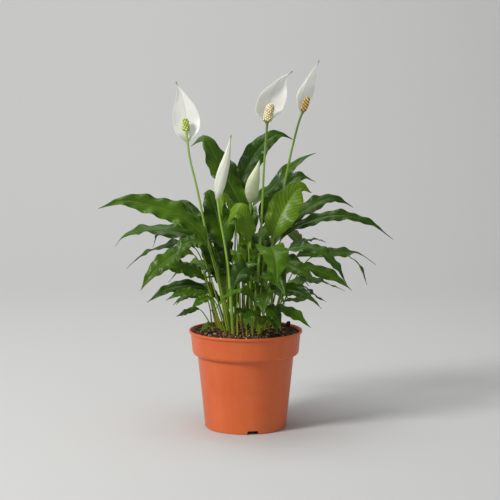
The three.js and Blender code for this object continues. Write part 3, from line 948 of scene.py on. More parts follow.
# what both leaf finishes share
leafGloss = {
    "specular": 0.26,
    "coat": 0.05,
    "coatRoughness": 0.22,
    "lightThrough": 0.16,
    "driedTip": (0.16, 0.10, 0.03),
}
leafFinish = {
    "dark": (0.015, 0.054, 0.001),
    "light": (0.100, 0.218, 0.002),
    "vein": (0.14, 0.25, 0.010),
    "under": (0.10, 0.18, 0.010),
    "stalk": (0.13, 0.24, 0.012),
    "sheath": (0.36, 0.46, 0.030),
    "roughness": 0.36,
    "veinShare": 0.34,
}
youngFinish = {
    "dark": (0.050, 0.125, 0.002),
    "light": (0.185, 0.330, 0.006),
    "vein": (0.27, 0.44, 0.035),
    "under": (0.18, 0.31, 0.03),
    "stalk": (0.20, 0.36, 0.03),
    "sheath": (0.32, 0.46, 0.07),
    "roughness": 0.38,
    "veinShare": 0.60,
}


def makeLeafMaterial(name, finish):
    material, tree, shader = newMaterial(name)
    place = objectPlace(tree)
    t, s, onStalk = parts(tree, readAttribute(tree, "bladeWhere", "Vector"))
    under = readAttribute(tree, "under")
    tone = readAttribute(tree, "tone")
    out = s.abs()
    broad = grain(tree, place, 26.0, 4.0, 0.6)
    fine = grain(tree, place, 900.0, 3.0, 0.6)
    mottle = grain(tree, place, 160.0, 3.0, 0.6)
    share = tone + (broad - 0.5) * 1.3 + (mottle - 0.5) * 0.3
    color = mix(tree, share.clamp(), finish["dark"], finish["light"])
    veinLine = (1.0 - leafVeins(t, out)) ** 4.0
    veinLine = veinLine * ((1.0 - out) * 5.0).clamp() * finish["veinShare"]
    rib = (out * -34.0).math("EXPONENT") * finish["veinShare"]
    color = mix(tree, (veinLine + rib).clamp(), color, finish["vein"])
    tipBrown = ((t - 0.985) * 90.0).clamp() * 0.5
    color = mix(tree, tipBrown, color, leafGloss["driedTip"])
    color = mix(tree, under * 0.85, color, finish["under"])
    lowPart = (1.0 - t * 2.2).clamp()
    stalkColor = mix(tree, lowPart, finish["stalk"], finish["sheath"])
    stalkColor = mix(tree, (mottle - 0.35).clamp() * 0.8, stalkColor, finish["light"])
    color = mix(tree, onStalk, color, stalkColor)
    attach(tree, color, shader.inputs["Base Color"])
    rough = (broad - 0.5) * 0.16 + (fine - 0.5) * 0.10 + under * 0.18 + onStalk * 0.1 + finish["roughness"]
    attach(tree, rough, shader.inputs["Roughness"])
    height = fine * 0.35 + mottle * 0.5
    attach(tree, bump(tree, height, 0.00025, 0.5), shader.inputs["Normal"])
    shader.inputs["Specular IOR Level"].default_value = leafGloss["specular"]
    shader.inputs["Coat Weight"].default_value = leafGloss["coat"]
    shader.inputs["Coat Roughness"].default_value = leafGloss["coatRoughness"]
    letLightThrough(tree, shader, mix(tree, 0.55, color, finish["vein"]), leafGloss["lightThrough"])
    return material


# width is a blade's width in mm, and roll and twist turn it about its midrib, in degrees
leafRows = {
    "leaf_top_1": dict(foot=(4, 15), heading=165, width=38, roll=-50,
        spine=((8, 320), (26, 362), (42, 392), (57, 418), (70, 432), (89, 419))),
    "leaf_top_2": dict(foot=(-16, 34), heading=30, width=32, roll=50,
        spine=((4, 338), (20, 386), (38, 414), (62, 434), (80, 438), (104, 428))),
    "leaf_top_3": dict(foot=(4, 26), heading=15, width=20, roll=40,
        spine=((7, 330), (42, 362), (63, 384), (88, 401), (107, 408))),
    "leaf_top_4": dict(foot=(20, 42), heading=35, width=32, roll=45,
        spine=((5, 302), (34, 343), (60, 364), (76, 373), (106, 364))),
    "leaf_top_5": dict(foot=(24, -18), heading=20, width=45, roll=60, young=True,
        spine=((18, 287), (32, 327), (44, 346), (62, 361), (78, 350))),
    "leaf_top_6": dict(foot=(10, -54), heading=172, width=36, roll=-35, young=True,
        spine=((6, 284), (8, 308), (13, 325), (22, 333), (31, 325), (37, 306))),
    "leaf_top_7": dict(foot=(-6, -30), heading=195, width=14, roll=-50, young=True,
        spine=((10, 316), (16, 338), (25, 348), (30, 338), (28, 320))),
    "leaf_top_8": dict(foot=(-25, -28), heading=135, width=42, roll=-30,
        spine=((8, 272), (22, 311), (33, 343), (42, 357), (52, 351))),
    "leaf_left_1": dict(foot=(-26, -34), heading=185, width=32, roll=-60,
        spine=((30, 278), (66, 322), (107, 338), (152, 345), (188, 332))),
    "leaf_left_2": dict(foot=(-22, -44), heading=205, width=26, roll=-30,
        spine=((36, 280), (56, 288), (74, 283), (86, 262))),
    "leaf_left_3": dict(foot=(-40, 3), heading=171, width=25, roll=-52, twist=35,
        spine=((35, 280), (79, 295), (117, 296), (146, 286), (159, 270))),
    "leaf_left_4": dict(foot=(-30, 26), heading=155, width=22, roll=-10,
        spine=((58, 290), (84, 299), (106, 292), (117, 282), (126, 262))),
    "leaf_left_5": dict(foot=(-44, 14), heading=178, width=20, roll=-10,
        spine=((31, 267), (56, 276), (88, 268), (113, 257), (136, 237))),
    "leaf_left_6": dict(foot=(-34, -22), heading=200, width=26, roll=-50,
        spine=((44, 264), (64, 271), (92, 256), (112, 239), (126, 215))),
    "leaf_left_7": dict(foot=(-38, -14), heading=195, width=22, roll=-50,
        spine=((23, 224), (33, 235), (54, 243), (74, 246), (99, 241))),
    "leaf_left_8": dict(foot=(-41, -4), heading=190, width=19, roll=-50,
        spine=((18, 208), (35, 214), (57, 215), (80, 210), (108, 193))),
    "leaf_left_9": dict(foot=(-32, -32), heading=212, width=14, roll=-45,
        spine=((29, 207), (51, 213), (72, 214), (97, 203))),
    "leaf_left_10": dict(foot=(-50, 3), heading=172, width=13, roll=-40,
        spine=((8, 191), (24, 199), (42, 195), (56, 183))),
    "leaf_left_11": dict(foot=(-47, -12), heading=185, width=10, roll=-50,
        spine=((22, 180), (35, 179), (57, 170))),
    "leaf_left_12": dict(foot=(-28, -48), heading=225, width=12, roll=-45,
        spine=((28, 204), (50, 205), (70, 192))),
    "leaf_left_13": dict(foot=(-40, -30), heading=215, width=10, roll=-30,
        spine=((8, 158), (18, 161), (32, 153))),
    "leaf_left_14": dict(foot=(-26, 36), heading=150, width=20, roll=-55,
        spine=((32, 276), (53, 304), (67, 323), (80, 332), (98, 332))),
    "leaf_front_1": dict(foot=(-20, -30), heading=286, width=15, roll=0,
        spine=((6, 260), (20, 272), (34, 262), (42, 244))),
    "leaf_front_2": dict(foot=(-12, -56), heading=345, width=13, roll=45,
        spine=((2, 228), (10, 243), (18, 251), (34, 254))),
    "leaf_front_3": dict(foot=(20, -15), heading=285, width=42, roll=0,
        spine=((28, 260), (58, 280), (90, 266), (113, 231))),
    "leaf_front_4": dict(foot=(28, -25), heading=330, width=22, roll=45,
        spine=((20, 254), (44, 251), (66, 243), (84, 229))),
    "leaf_front_5": dict(foot=(8, -46), heading=335, width=20, roll=45,
        spine=((28, 218), (55, 218), (80, 214), (105, 200))),
    "leaf_front_6": dict(foot=(34, -38), heading=180, width=14, roll=-45,
        spine=((1, 203), (14, 214), (26, 218), (38, 213))),
    "leaf_front_7": dict(foot=(2, -60), heading=215, width=15, roll=-40,
        spine=((2, 170), (5, 182), (13, 187), (27, 181))),
    "leaf_front_8": dict(foot=(16, -38), heading=310, width=18, roll=25,
        spine=((10, 186), (26, 188), (43, 178), (58, 158))),
    "leaf_right_1": dict(foot=(36, 18), heading=20, width=24, roll=40,
        spine=((22, 290), (59, 326), (101, 342), (120, 335), (137, 325))),
    "leaf_right_2": dict(foot=(35, 4), heading=3, width=21, roll=45,
        spine=((19, 284), (56, 308), (102, 318), (150, 307), (186, 281))),
    "leaf_right_3": dict(foot=(30, -12), heading=340, width=20, roll=35,
        spine=((30, 266), (54, 275), (78, 273), (108, 253), (127, 224))),
    "leaf_right_4": dict(foot=(38, 14), heading=12, width=25, roll=50, twist=-60,
        spine=((39, 254), (81, 261), (119, 259), (137, 257), (165, 239))),
    "leaf_right_5": dict(foot=(40, 30), heading=28, width=18, roll=10,
        spine=((64, 246), (96, 254), (128, 250), (156, 231), (170, 199))),
    "leaf_right_6": dict(foot=(34, 38), heading=40, width=18, roll=0,
        spine=((42, 262), (70, 271), (99, 272), (119, 266))),
    "leaf_right_7": dict(foot=(40, -2), heading=350, width=20, roll=40,
        spine=((34, 238), (49, 243), (68, 239), (98, 225), (118, 209))),
    "leaf_right_8": dict(foot=(40, -14), heading=345, width=18, roll=45, twist=-60,
        spine=((22, 218), (42, 225), (65, 226), (83, 222), (110, 212))),
    "leaf_right_9": dict(foot=(44, 14), heading=15, width=13, roll=20,
        spine=((28, 210), (43, 210), (55, 202), (67, 192), (81, 184))),
    "leaf_right_10": dict(foot=(46, 2), heading=355, width=12, roll=25,
        spine=((12, 189), (31, 193), (50, 195), (68, 179))),
    "leaf_back_1": dict(foot=(6, 42), heading=95, width=36, roll=0,
        spine=((32, 270), (62, 308), (98, 312), (140, 280))),
}

# several leaves whose stalks still share one sheath at the mix
shootRows = {
    "shoot_front": [
        dict(foot=(20.4, -50.5), heading=243, width=28, roll=-33,
            spine=((16, 228), (39, 250), (67, 246), (94, 224))),
        dict(foot=(18.4, -51.9), heading=299, width=28, roll=34,
            spine=((12, 225), (31, 245), (53, 239), (76, 215))),
        dict(foot=(20.8, -51.9), heading=276, width=26, roll=26,
            spine=((8, 191), (21, 212), (38, 208), (56, 184))),
        dict(foot=(20.6, -51.6), heading=216, width=24, roll=16,
            spine=((11, 200), (31, 218), (56, 212), (80, 192))),
        dict(foot=(21.2, -49.8), heading=346, width=22, roll=32,
            spine=((11, 171), (30, 187), (53, 181), (76, 161))),
        dict(foot=(21.6, -49.8), heading=244, width=20, roll=7,
            spine=((9, 173), (22, 187), (40, 181), (57, 165))),
        dict(foot=(18.1, -47.8), heading=306, width=20, roll=-14,
            spine=((7, 162), (18, 178), (33, 174), (49, 156))),
    ],
    "shoot_middle": [
        dict(foot=(-4, 8), heading=93, width=36, roll=0,
            spine=((35, 282), (49, 322), (64, 340), (92, 330))),
        dict(foot=(-3, 6), heading=30, width=32, roll=20,
            spine=((18, 256), (38, 290), (62, 304), (92, 296))),
        dict(foot=(-5.5, 7), heading=172, width=28, roll=-35,
            spine=((14, 246), (32, 276), (52, 286), (78, 276))),
        dict(foot=(-3, 8.5), heading=8, width=26, roll=25,
            spine=((13, 190), (24, 232), (34, 264), (52, 284))),
        dict(foot=(-5, 8.5), heading=146, width=28, roll=-20,
            spine=((12, 180), (23, 220), (34, 250), (50, 270))),
        dict(foot=(-5.5, 6), heading=200, width=24, roll=30,
            spine=((12, 180), (25, 212), (40, 228), (62, 228))),
        dict(foot=(-6, 8.6), heading=287, width=26, roll=-29,
            spine=((16, 244), (33, 270), (51, 272), (70, 254))),
        dict(foot=(-2.5, 6.4), heading=276, width=24, roll=-8,
            spine=((12, 217), (24, 241), (39, 245), (56, 229))),
        dict(foot=(-4, 6), heading=198, width=24, roll=-1,
            spine=((13, 210), (29, 236), (47, 242), (67, 230))),
    ],
    "shoot_back_left": [
        dict(foot=(-14, 48), heading=118, width=30, roll=-10,
            spine=((30, 250), (60, 280), (94, 280), (132, 252))),
        dict(foot=(-15.5, 49), heading=146, width=26, roll=-15,
            spine=((34, 216), (64, 236), (96, 230), (128, 202))),
        dict(foot=(-12.5, 49.5), heading=100, width=22, roll=0,
            spine=((22, 190), (48, 208), (74, 202), (104, 174))),
        dict(foot=(-15.5, 47), heading=168, width=30, roll=-40,
            spine=((16, 200), (34, 246), (54, 276), (84, 284))),
        dict(foot=(-14.6, 49.2), heading=181, width=24, roll=-28,
            spine=((21, 180), (43, 202), (69, 198), (96, 176))),
    ],
    "shoot_back_right": [
        dict(foot=(14, 54), heading=78, width=26, roll=0,
            spine=((24, 216), (52, 240), (82, 234), (116, 204))),
        dict(foot=(15.5, 53), heading=48, width=26, roll=15,
            spine=((32, 206), (62, 226), (94, 220), (126, 192))),
        dict(foot=(14.5, 55.5), heading=60, width=20, roll=5,
            spine=((20, 182), (44, 196), (68, 188), (92, 164))),
        dict(foot=(13, 53), heading=112, width=28, roll=-10,
            spine=((14, 204), (28, 250), (46, 278), (74, 276))),
        dict(foot=(14.7, 54.7), heading=56, width=30, roll=-18,
            spine=((33, 251), (68, 279), (103, 277), (148, 247))),
        dict(foot=(16.9, 54.6), heading=338, width=26, roll=27,
            spine=((17, 221), (39, 245), (62, 243), (88, 223))),
        dict(foot=(16.2, 53.2), heading=325, width=24, roll=27,
            spine=((12, 185), (25, 209), (42, 209), (60, 191))),
    ],
}


# the usual look of a blade, and how far waves and tone differ from leaf to leaf
leafHabit = {
    "fold": 0.40,
    "droop": 0.30,
    "ripple": 0.30,
    "waves": 3.0,
    "wavesSpread": 0.7,
    "tone": 0.38,
    "toneSpread": 0.32,
    "fullness": 1.06,
    "usualWidth": 30,
}
# leaves that differ from the rest: tone is darker towards 0, slim narrows the blade
leafLooks = {
    "leaf_right_2": dict(tone=0.12, slim=0.84, ripple=0.42, waves=4.2),
    "leaf_left_1": dict(tone=0.50, ripple=0.36, waves=3.6),
    "leaf_left_2": dict(tone=0.25, slim=0.92),
    "leaf_front_3": dict(tone=0.60, ripple=0.2),
    "leaf_right_3": dict(tone=0.2, ripple=0.38),
    "leaf_top_3": dict(tone=0.2),
    "leaf_top_5": dict(tone=0.40, ripple=0.14),
    "leaf_top_6": dict(tone=0.50, ripple=0.14),
    "leaf_top_7": dict(tone=0.80),
}


def makeLeaves():
    tree = makeLeafTree()
    grown = makeLeafMaterial("grownLeaf", leafFinish)
    young = makeLeafMaterial("youngLeaf", youngFinish)
    groups = [(name, [row]) for name, row in leafRows.items()] + list(shootRows.items())
    for number, (name, rows) in enumerate(groups):
        shell = bmesh.new()
        isYoung = rows[0].get("young", False)
        finish = young if isYoung else grown
        look = leafLooks.get(name, {})
        waves = leafHabit["waves"] + leafHabit["wavesSpread"] * math.sin(number * 2.4)
        for k, row in enumerate(rows):
            points = riseFrom(row["foot"], row["heading"], row["spine"])
            size = row["width"] / leafHabit["usualWidth"]
            tone = leafHabit["tone"] + leafHabit["toneSpread"] * math.sin(number * 4.1 + k)
            values = {
                "Blade Start": bladeShare(points),
                "Side": sideways(row["heading"]),
                "Blade Width": row["width"] * mm * leafHabit["fullness"] * look.get("slim", 1.0),
                "Roll": math.radians(row["roll"]),
                "Twist": math.radians(row.get("twist", 0)),
                "Fold": leafHabit["fold"],
                "Droop": leafHabit["droop"],
                "Ripple": look.get("ripple", leafHabit["ripple"]),
                "Waves": look.get("waves", waves),
                "Phase": (number * 2.399 + k * 1.3) % 6.283,
                "Tone": look.get("tone", tone),
                "Stalk Foot": leafShape["stalkFoot"] * mm * (0.72 + 0.28 * min(size, 1.2)),
                "Stalk Top": leafShape["stalkTop"] * mm * (0.55 + 0.4 * min(size, 1.25)),
                "Vein Depth": leafShape["veinDepth"] * mm * min(size, 1.3),
                "Thickness": leafShape["thickness"] * mm,
                "Finish": finish,
            }
            mesh = grow(name, pathMesh(name, smoothPath(points)), tree, values)
            if len(rows) > 1:
                shell.from_mesh(mesh)
        if len(rows) > 1:
            mesh = bpy.data.meshes.new(name)
            shell.to_mesh(mesh)
            mesh.materials.append(finish)
        shell.free()
        mesh.set_sharp_from_angle(angle=math.radians(55))
        addPiece(name.replace("_", "."), mesh, "young_leaf" if isYoung else "leaf", name)


makeLeaves()
print("leaves done")


# A flower is a stalk, a white spathe and a knobbly spadix, or a stalk and a rolled spathe.

spatheShape = {
    "outline": [(0.0, 0.10), (0.05, 0.48), (0.12, 0.78), (0.24, 0.97), (0.36, 1.0), (0.52, 0.88),
        (0.68, 0.58), (0.80, 0.31), (0.90, 0.13), (1.0, 0.02)],
    "curl": [(0.0, 1.0), (0.10, 0.62), (0.25, 0.36), (0.50, 0.33), (0.75, 0.5), (1.0, 0.8)],
    "thickness": 0.5,
    "alongCount": 90,
    "acrossCount": 41,
    "crease": 0.6,
    "veins": 34.0,
    "veinFan": 6.0,
    "veinDepth": 0.07,
}


def spatheVeins(t, s):
    # fine lengthwise veins that fan out a little
    return (s * spatheShape["veins"] + t * s * spatheShape["veinFan"]).sin()


def makeSpatheTree():
    tree, given = newTree("spatheOnMidrib", {
        "Side": (0.0, 1.0, 0.0), "Width": 0.04, "Roll": 0.0, "Twist": 0.0, "Curl": 2.4,
        "Ripple": 0.05, "Phase": 0.0, "Belly": 1.0, "Thickness": spatheShape["thickness"] * mm,
        "Finish": "",
    })
    curve = step(tree, "GeometryNodeMeshToCurve", Mesh=given["Geometry"])
    grid, t, s = bladeGrid(tree, spatheShape["alongCount"], spatheShape["acrossCount"])
    out = s.abs()
    roll = given["Roll"] + given["Twist"] * t * t
    place, along, across, normal = frameOnPath(tree, curve, t, given["Side"], roll)
    half = floatCurve(tree, t ** given["Belly"], spatheShape["outline"]) * given["Width"] * 0.5
    # across the blade it bends round as an arc, tightly where it clasps the stalk
    bend = floatCurve(tree, t, spatheShape["curl"]) * given["Curl"]
    angle = bend * s
    spread = half * angle.sin() / bend
    lift = half * (1.0 - angle.cos()) / bend
    wave = (t * 15.0 + given["Phase"] + s * 1.4).sin() * out * out * given["Ripple"] * half
    crease = (out * -12.0).math("EXPONENT") * (-spatheShape["crease"] * mm)
    veins = spatheVeins(t, s) * (spatheShape["veinDepth"] * mm)
    veins = veins * (1.0 - out) * (out * 5.0).clamp()
    fade = ((1.0 - t) * 6.0).clamp() * (t * 8.0).clamp()
    lift = lift + wave + (crease + veins) * fade
    place = addUp(tree, place, scaled(tree, across, spread), scaled(tree, normal, lift))
    grid = step(tree, "GeometryNodeSetPosition", Geometry=grid, Position=place)
    endTree(tree, thicken(tree, grid, given["Thickness"]), given["Finish"])
    return tree


budShape = {
    "outline": [(0.0, 0.16), (0.06, 0.46), (0.16, 0.80), (0.30, 1.0), (0.48, 0.93), (0.64, 0.66),
        (0.78, 0.37), (0.90, 0.15), (1.0, 0.035)],
    "turns": 1.18,
    "alongCount": 90,
    "acrossCount": 65,
    "overlap": 0.4,
    "ridges": 42.0,
    "ridgeHeight": 0.05,
}


def makeBudTree():
    tree, given = newTree("rolledSpathe", {
        "Side": (0.0, 1.0, 0.0), "Width": 0.018, "Turns": budShape["turns"], "Twist": 0.9,
        "Start": 0.0, "Thickness": spatheShape["thickness"] * mm, "Finish": "",
    })
    curve = step(tree, "GeometryNodeMeshToCurve", Mesh=given["Geometry"])
    grid, t, s = bladeGrid(tree, budShape["alongCount"], budShape["acrossCount"])
    place, along, across, normal = frameOnPath(tree, curve, t, given["Side"])
    radius = floatCurve(tree, t, budShape["outline"]) * given["Width"] * 0.5
    # the roll's outer edge lies over its inner one
    spiral = (s + 1.0) * 0.5
    angle = s * given["Turns"] * math.pi + given["Start"] + given["Twist"] * t
    radius = radius * (0.93 + spiral * 0.10) + (spiral ** 3.0) * (budShape["overlap"] * mm)
    ridges = (s * budShape["ridges"]).sin() * (budShape["ridgeHeight"] * mm)
    ridges = ridges * ((1.0 - t) * 5.0).clamp()
    place = addUp(tree, place, scaled(tree, across, (radius + ridges) * angle.cos()),
        scaled(tree, normal, (radius + ridges) * angle.sin()))
    grid = step(tree, "GeometryNodeSetPosition", Geometry=grid, Position=place)
    endTree(tree, thicken(tree, grid, given["Thickness"]), given["Finish"])
    return tree


def makeStalkTree():
    tree, given = newTree("flowerStalk", {
        "Foot": 0.0026, "Top": 0.0017, "Sheath": 0.0036, "Sheath Share": 0.3, "Flare": 0.0004,
        "Sides": 16, "Tone": 0.5, "Finish": "",
    })
    curve = step(tree, "GeometryNodeMeshToCurve", Mesh=given["Geometry"])
    factor = step(tree, "GeometryNodeSplineParameter", output="Factor")
    stem = given["Foot"] + (given["Top"] - given["Foot"]) * factor
    inSheath = (((given["Sheath Share"] - factor) * 22.0).clamp()) * (given["Sheath"] - given["Foot"])
    inSheath = inSheath * (1.0 - factor * 1.2)
    top = ((factor - 1.0) * 30.0).math("EXPONENT") * given["Flare"]
    curve = store(tree, curve, "bladeWhere", "FLOAT_VECTOR", combine(tree, factor, 0.0, 1.0))
    stem = sweep(tree, curve, stem + inSheath + top, given["Sides"])
    whole = store(tree, stem, "tone", "FLOAT", given["Tone"])
    endTree(tree, whole, given["Finish"])
    return tree


spadixShape = {
    "outline": [(0.0, 0.45), (0.05, 0.80), (0.15, 0.97), (0.45, 1.0), (0.75, 0.90), (0.90, 0.66),
        (0.97, 0.38), (1.0, 0.12)],
    "coreShare": 0.46,
    "coreSides": 24,
    "firstFloret": 0.062,
    "floretStretch": 0.93,
    "floretSize": 1.85,
    "floretPoint": 0.25,
    "goldenTurn": 2.399963,
}


def makeSpadixTree():
    tree, given = newTree("spadixOfFlorets", {
        "Side": (0.0, 1.0, 0.0), "Width": 0.010, "Florets": 60,
        "Floret Size": spadixShape["floretSize"] * mm, "Point": spadixShape["floretPoint"],
        "Seed": 1, "Finish": "",
    })
    curve = step(tree, "GeometryNodeMeshToCurve", Mesh=given["Geometry"])
    # the core
    factor = step(tree, "GeometryNodeSplineParameter", output="Factor")
    radius = floatCurve(tree, factor, spadixShape["outline"]) * given["Width"] * spadixShape["coreShare"]
    core = store(tree, sweep(tree, curve, radius, spadixShape["coreSides"]), "knob", "FLOAT", 0.0)
    # the florets, each on the next step of a spiral
    cloud = step(tree, "GeometryNodePoints", Count=given["Florets"])
    index = step(tree, "GeometryNodeInputIndex")
    share = (index + 0.5) / given["Florets"] * spadixShape["floretStretch"] + spadixShape["firstFloret"]
    place, along, across, normal = frameOnPath(tree, curve, share, given["Side"])
    angle = index * spadixShape["goldenTurn"]
    outward = addUp(tree, scaled(tree, across, angle.cos()), scaled(tree, normal, angle.sin()))
    reach = floatCurve(tree, share, spadixShape["outline"]) * given["Width"] * spadixShape["coreShare"]
    tipLean = ((share - 0.78) * 4.2).clamp()
    facing = vectorMath(tree, "NORMALIZE", addUp(tree, outward, scaled(tree, along, tipLean * 1.6)))
    spot = addUp(tree, place, scaled(tree, outward, reach))
    cloud = step(tree, "GeometryNodeSetPosition", Geometry=cloud, Position=spot)
    ball = step(tree, "GeometryNodeMeshIcoSphere", Radius=1.0, Subdivisions=2)
    here = step(tree, "GeometryNodeInputPosition")
    x, y, z = parts(tree, here)
    point = ((x * x + y * y) * -9.0).math("EXPONENT") * (z * 3.0).clamp() * given["Point"]
    ball = step(tree, "GeometryNodeSetPosition", Geometry=ball, Offset=combine(tree, 0.0, 0.0, point))
    ball = store(tree, ball, "knob", "FLOAT", z)
    rotation = step(tree, "FunctionNodeAlignRotationToVector", settings={"axis": "Z"}, Vector=facing)
    size = randomValue(tree, 0.86, 1.12, given["Seed"])
    size = size * given["Floret Size"] * (1.0 - tipLean * 0.28)
    knobs = step(tree, "GeometryNodeInstanceOnPoints", Points=cloud, Instance=ball, Rotation=rotation,
        Scale=combine(tree, size, size, size * 0.85))
    shade = randomValue(tree, 0.0, 1.0, given["Seed"] + 4)
    knobs = store(tree, knobs, "tone", "FLOAT", shade * 0.5 + 0.25, "INSTANCE")
    endTree(tree, join(tree, core, knobs), given["Finish"])
    return tree


# petal color, color of its foot, rib and tip, how strong those are, and light let through
spatheFinish = {
    "openSpathe": ((0.97, 0.97, 0.95), (0.30, 0.42, 0.10), 0.8, 0.45),
    # this row is openSpathe letting more light through, a brighter lit copy for the right spathe, which
    # faces away from the key light
    "thinSpathe": ((0.97, 0.97, 0.95), (0.30, 0.42, 0.10), 0.8, 0.75),
    "closedSpathe": ((0.95, 0.96, 0.90), (0.34, 0.48, 0.14), 1.0, 0.45),
    "greenBud": ((0.88, 0.93, 0.70), (0.34, 0.52, 0.12), 1.0, 0.45),
}
spatheShade = {"vein": (0.84, 0.87, 0.74), "driedTip": (0.12, 0.11, 0.04), "roughness": 0.46}
# colors of the foot, the rest and the neck of a flower's stalk; the very dark neck of the second is painted
# shade under its spathe
stalkFinish = {
    "flowerStalk": ((0.22, 0.36, 0.03), (0.26, 0.42, 0.06), (0.36, 0.50, 0.14)),
    "darkNeckStalk": ((0.21, 0.35, 0.03), (0.20, 0.34, 0.04), (0.07, 0.09, 0.022)),
}
stalkLines = (0.09, 0.20, 0.025)
# colors of the painted shade between the florets, of a floret and of its point; the first also darkens some
# whole florets
spadixFinish = {
    "greenSpadix": ((0.24, 0.36, 0.03), (0.62, 0.72, 0.16), (0.90, 0.92, 0.46)),
    "creamSpadix": ((0.50, 0.38, 0.13), (0.95, 0.89, 0.60), (1.0, 0.97, 0.80)),
    "tanSpadix": ((0.24, 0.12, 0.022), (0.72, 0.47, 0.13), (0.88, 0.70, 0.30)),
}


def makeSpatheMaterial(name):
    white, green, greenShare, lightThrough = spatheFinish[name]
    material, tree, shader = newMaterial(name)
    place = objectPlace(tree)
    t, s = parts(tree, readAttribute(tree, "bladeWhere", "Vector"))[:2]
    under = readAttribute(tree, "under")
    out = s.abs()
    soft = grain(tree, place, 45.0, 3.0)
    fine = grain(tree, place, 1100.0, 3.0)
    veins = ((spatheVeins(t, s) * 0.5 + 0.5) ** 3.0) * (1.0 - out) * 0.16
    color = mix(tree, (veins + (soft - 0.5) * 0.35).clamp(), white, spatheShade["vein"])
    rib = (out * -22.0).math("EXPONENT") * (0.10 + under * 0.6)
    tip = ((t - 0.90) * 10.0).clamp() ** 1.5
    foot = (1.0 - t * 7.0).clamp() * 0.55
    wash = (rib * (0.4 + t * 0.5) + tip + foot) * greenShare
    color = mix(tree, wash.clamp(), color, green)
    tipBrown = ((t - 0.965) * 32.0).clamp() * 0.6
    color = mix(tree, tipBrown, color, spatheShade["driedTip"])
    attach(tree, color, shader.inputs["Base Color"])
    rough = (soft - 0.5) * 0.2 + (fine - 0.5) * 0.1 + spatheShade["roughness"]
    attach(tree, rough, shader.inputs["Roughness"])
    attach(tree, bump(tree, fine * 0.5 + soft * 0.5, 0.0002, 0.4), shader.inputs["Normal"])
    letLightThrough(tree, shader, color, lightThrough)
    return material


def makeStalkMaterial(name):
    low, high, neck = stalkFinish[name]
    material, tree, shader = newMaterial(name)
    place = objectPlace(tree)
    t = parts(tree, readAttribute(tree, "bladeWhere", "Vector"))[0]
    lines = grain(tree, place, 700.0, 2.0, stretch=(1.0, 1.0, 0.04))
    soft = grain(tree, place, 60.0, 4.0)
    color = mix(tree, (t * 1.3).clamp(), low, high)
    # on the dark-necked stalks this neck color is painted shade under the spathe
    color = mix(tree, ((t - 0.82) * 5.0).clamp() * 0.8, color, neck)
    lined = ((lines - 0.45) * 1.4 + (soft - 0.5) * 0.8).clamp() * 0.5
    color = mix(tree, lined, color, stalkLines)
    attach(tree, color, shader.inputs["Base Color"])
    attach(tree, (soft - 0.5) * 0.2 + 0.42, shader.inputs["Roughness"])
    attach(tree, bump(tree, lines, 0.0003, 0.5), shader.inputs["Normal"])
    return material


def makeSpadixMaterial(name):
    gapShadeAndDarkFloret, knob, tip = spadixFinish[name]
    material, tree, shader = newMaterial(name)
    place = objectPlace(tree)
    # knob is 0 on the core and runs to 1 at the point of a floret
    level = readAttribute(tree, "knob")
    tone = readAttribute(tree, "tone")
    fine = grain(tree, place, 1500.0, 2.0)
    # the core and the low part of each floret take the first color, painted shade as if in the gaps between
    # florets
    color = mix(tree, ((level - 0.34) * 2.8).clamp(), gapShadeAndDarkFloret, knob)
    color = mix(tree, ((level - 0.80) * 5.0).clamp(), color, tip)
    # some florets are darker all over
    darker = ((tone - 0.5) * 6.0).clamp() * 0.55 + (fine - 0.5) * 0.2
    color = mix(tree, darker, color, gapShadeAndDarkFloret)
    attach(tree, color, shader.inputs["Base Color"])
    attach(tree, (fine - 0.5) * 0.2 + 0.6, shader.inputs["Roughness"])
    attach(tree, bump(tree, fine, 0.0001, 0.4), shader.inputs["Normal"])
    return material


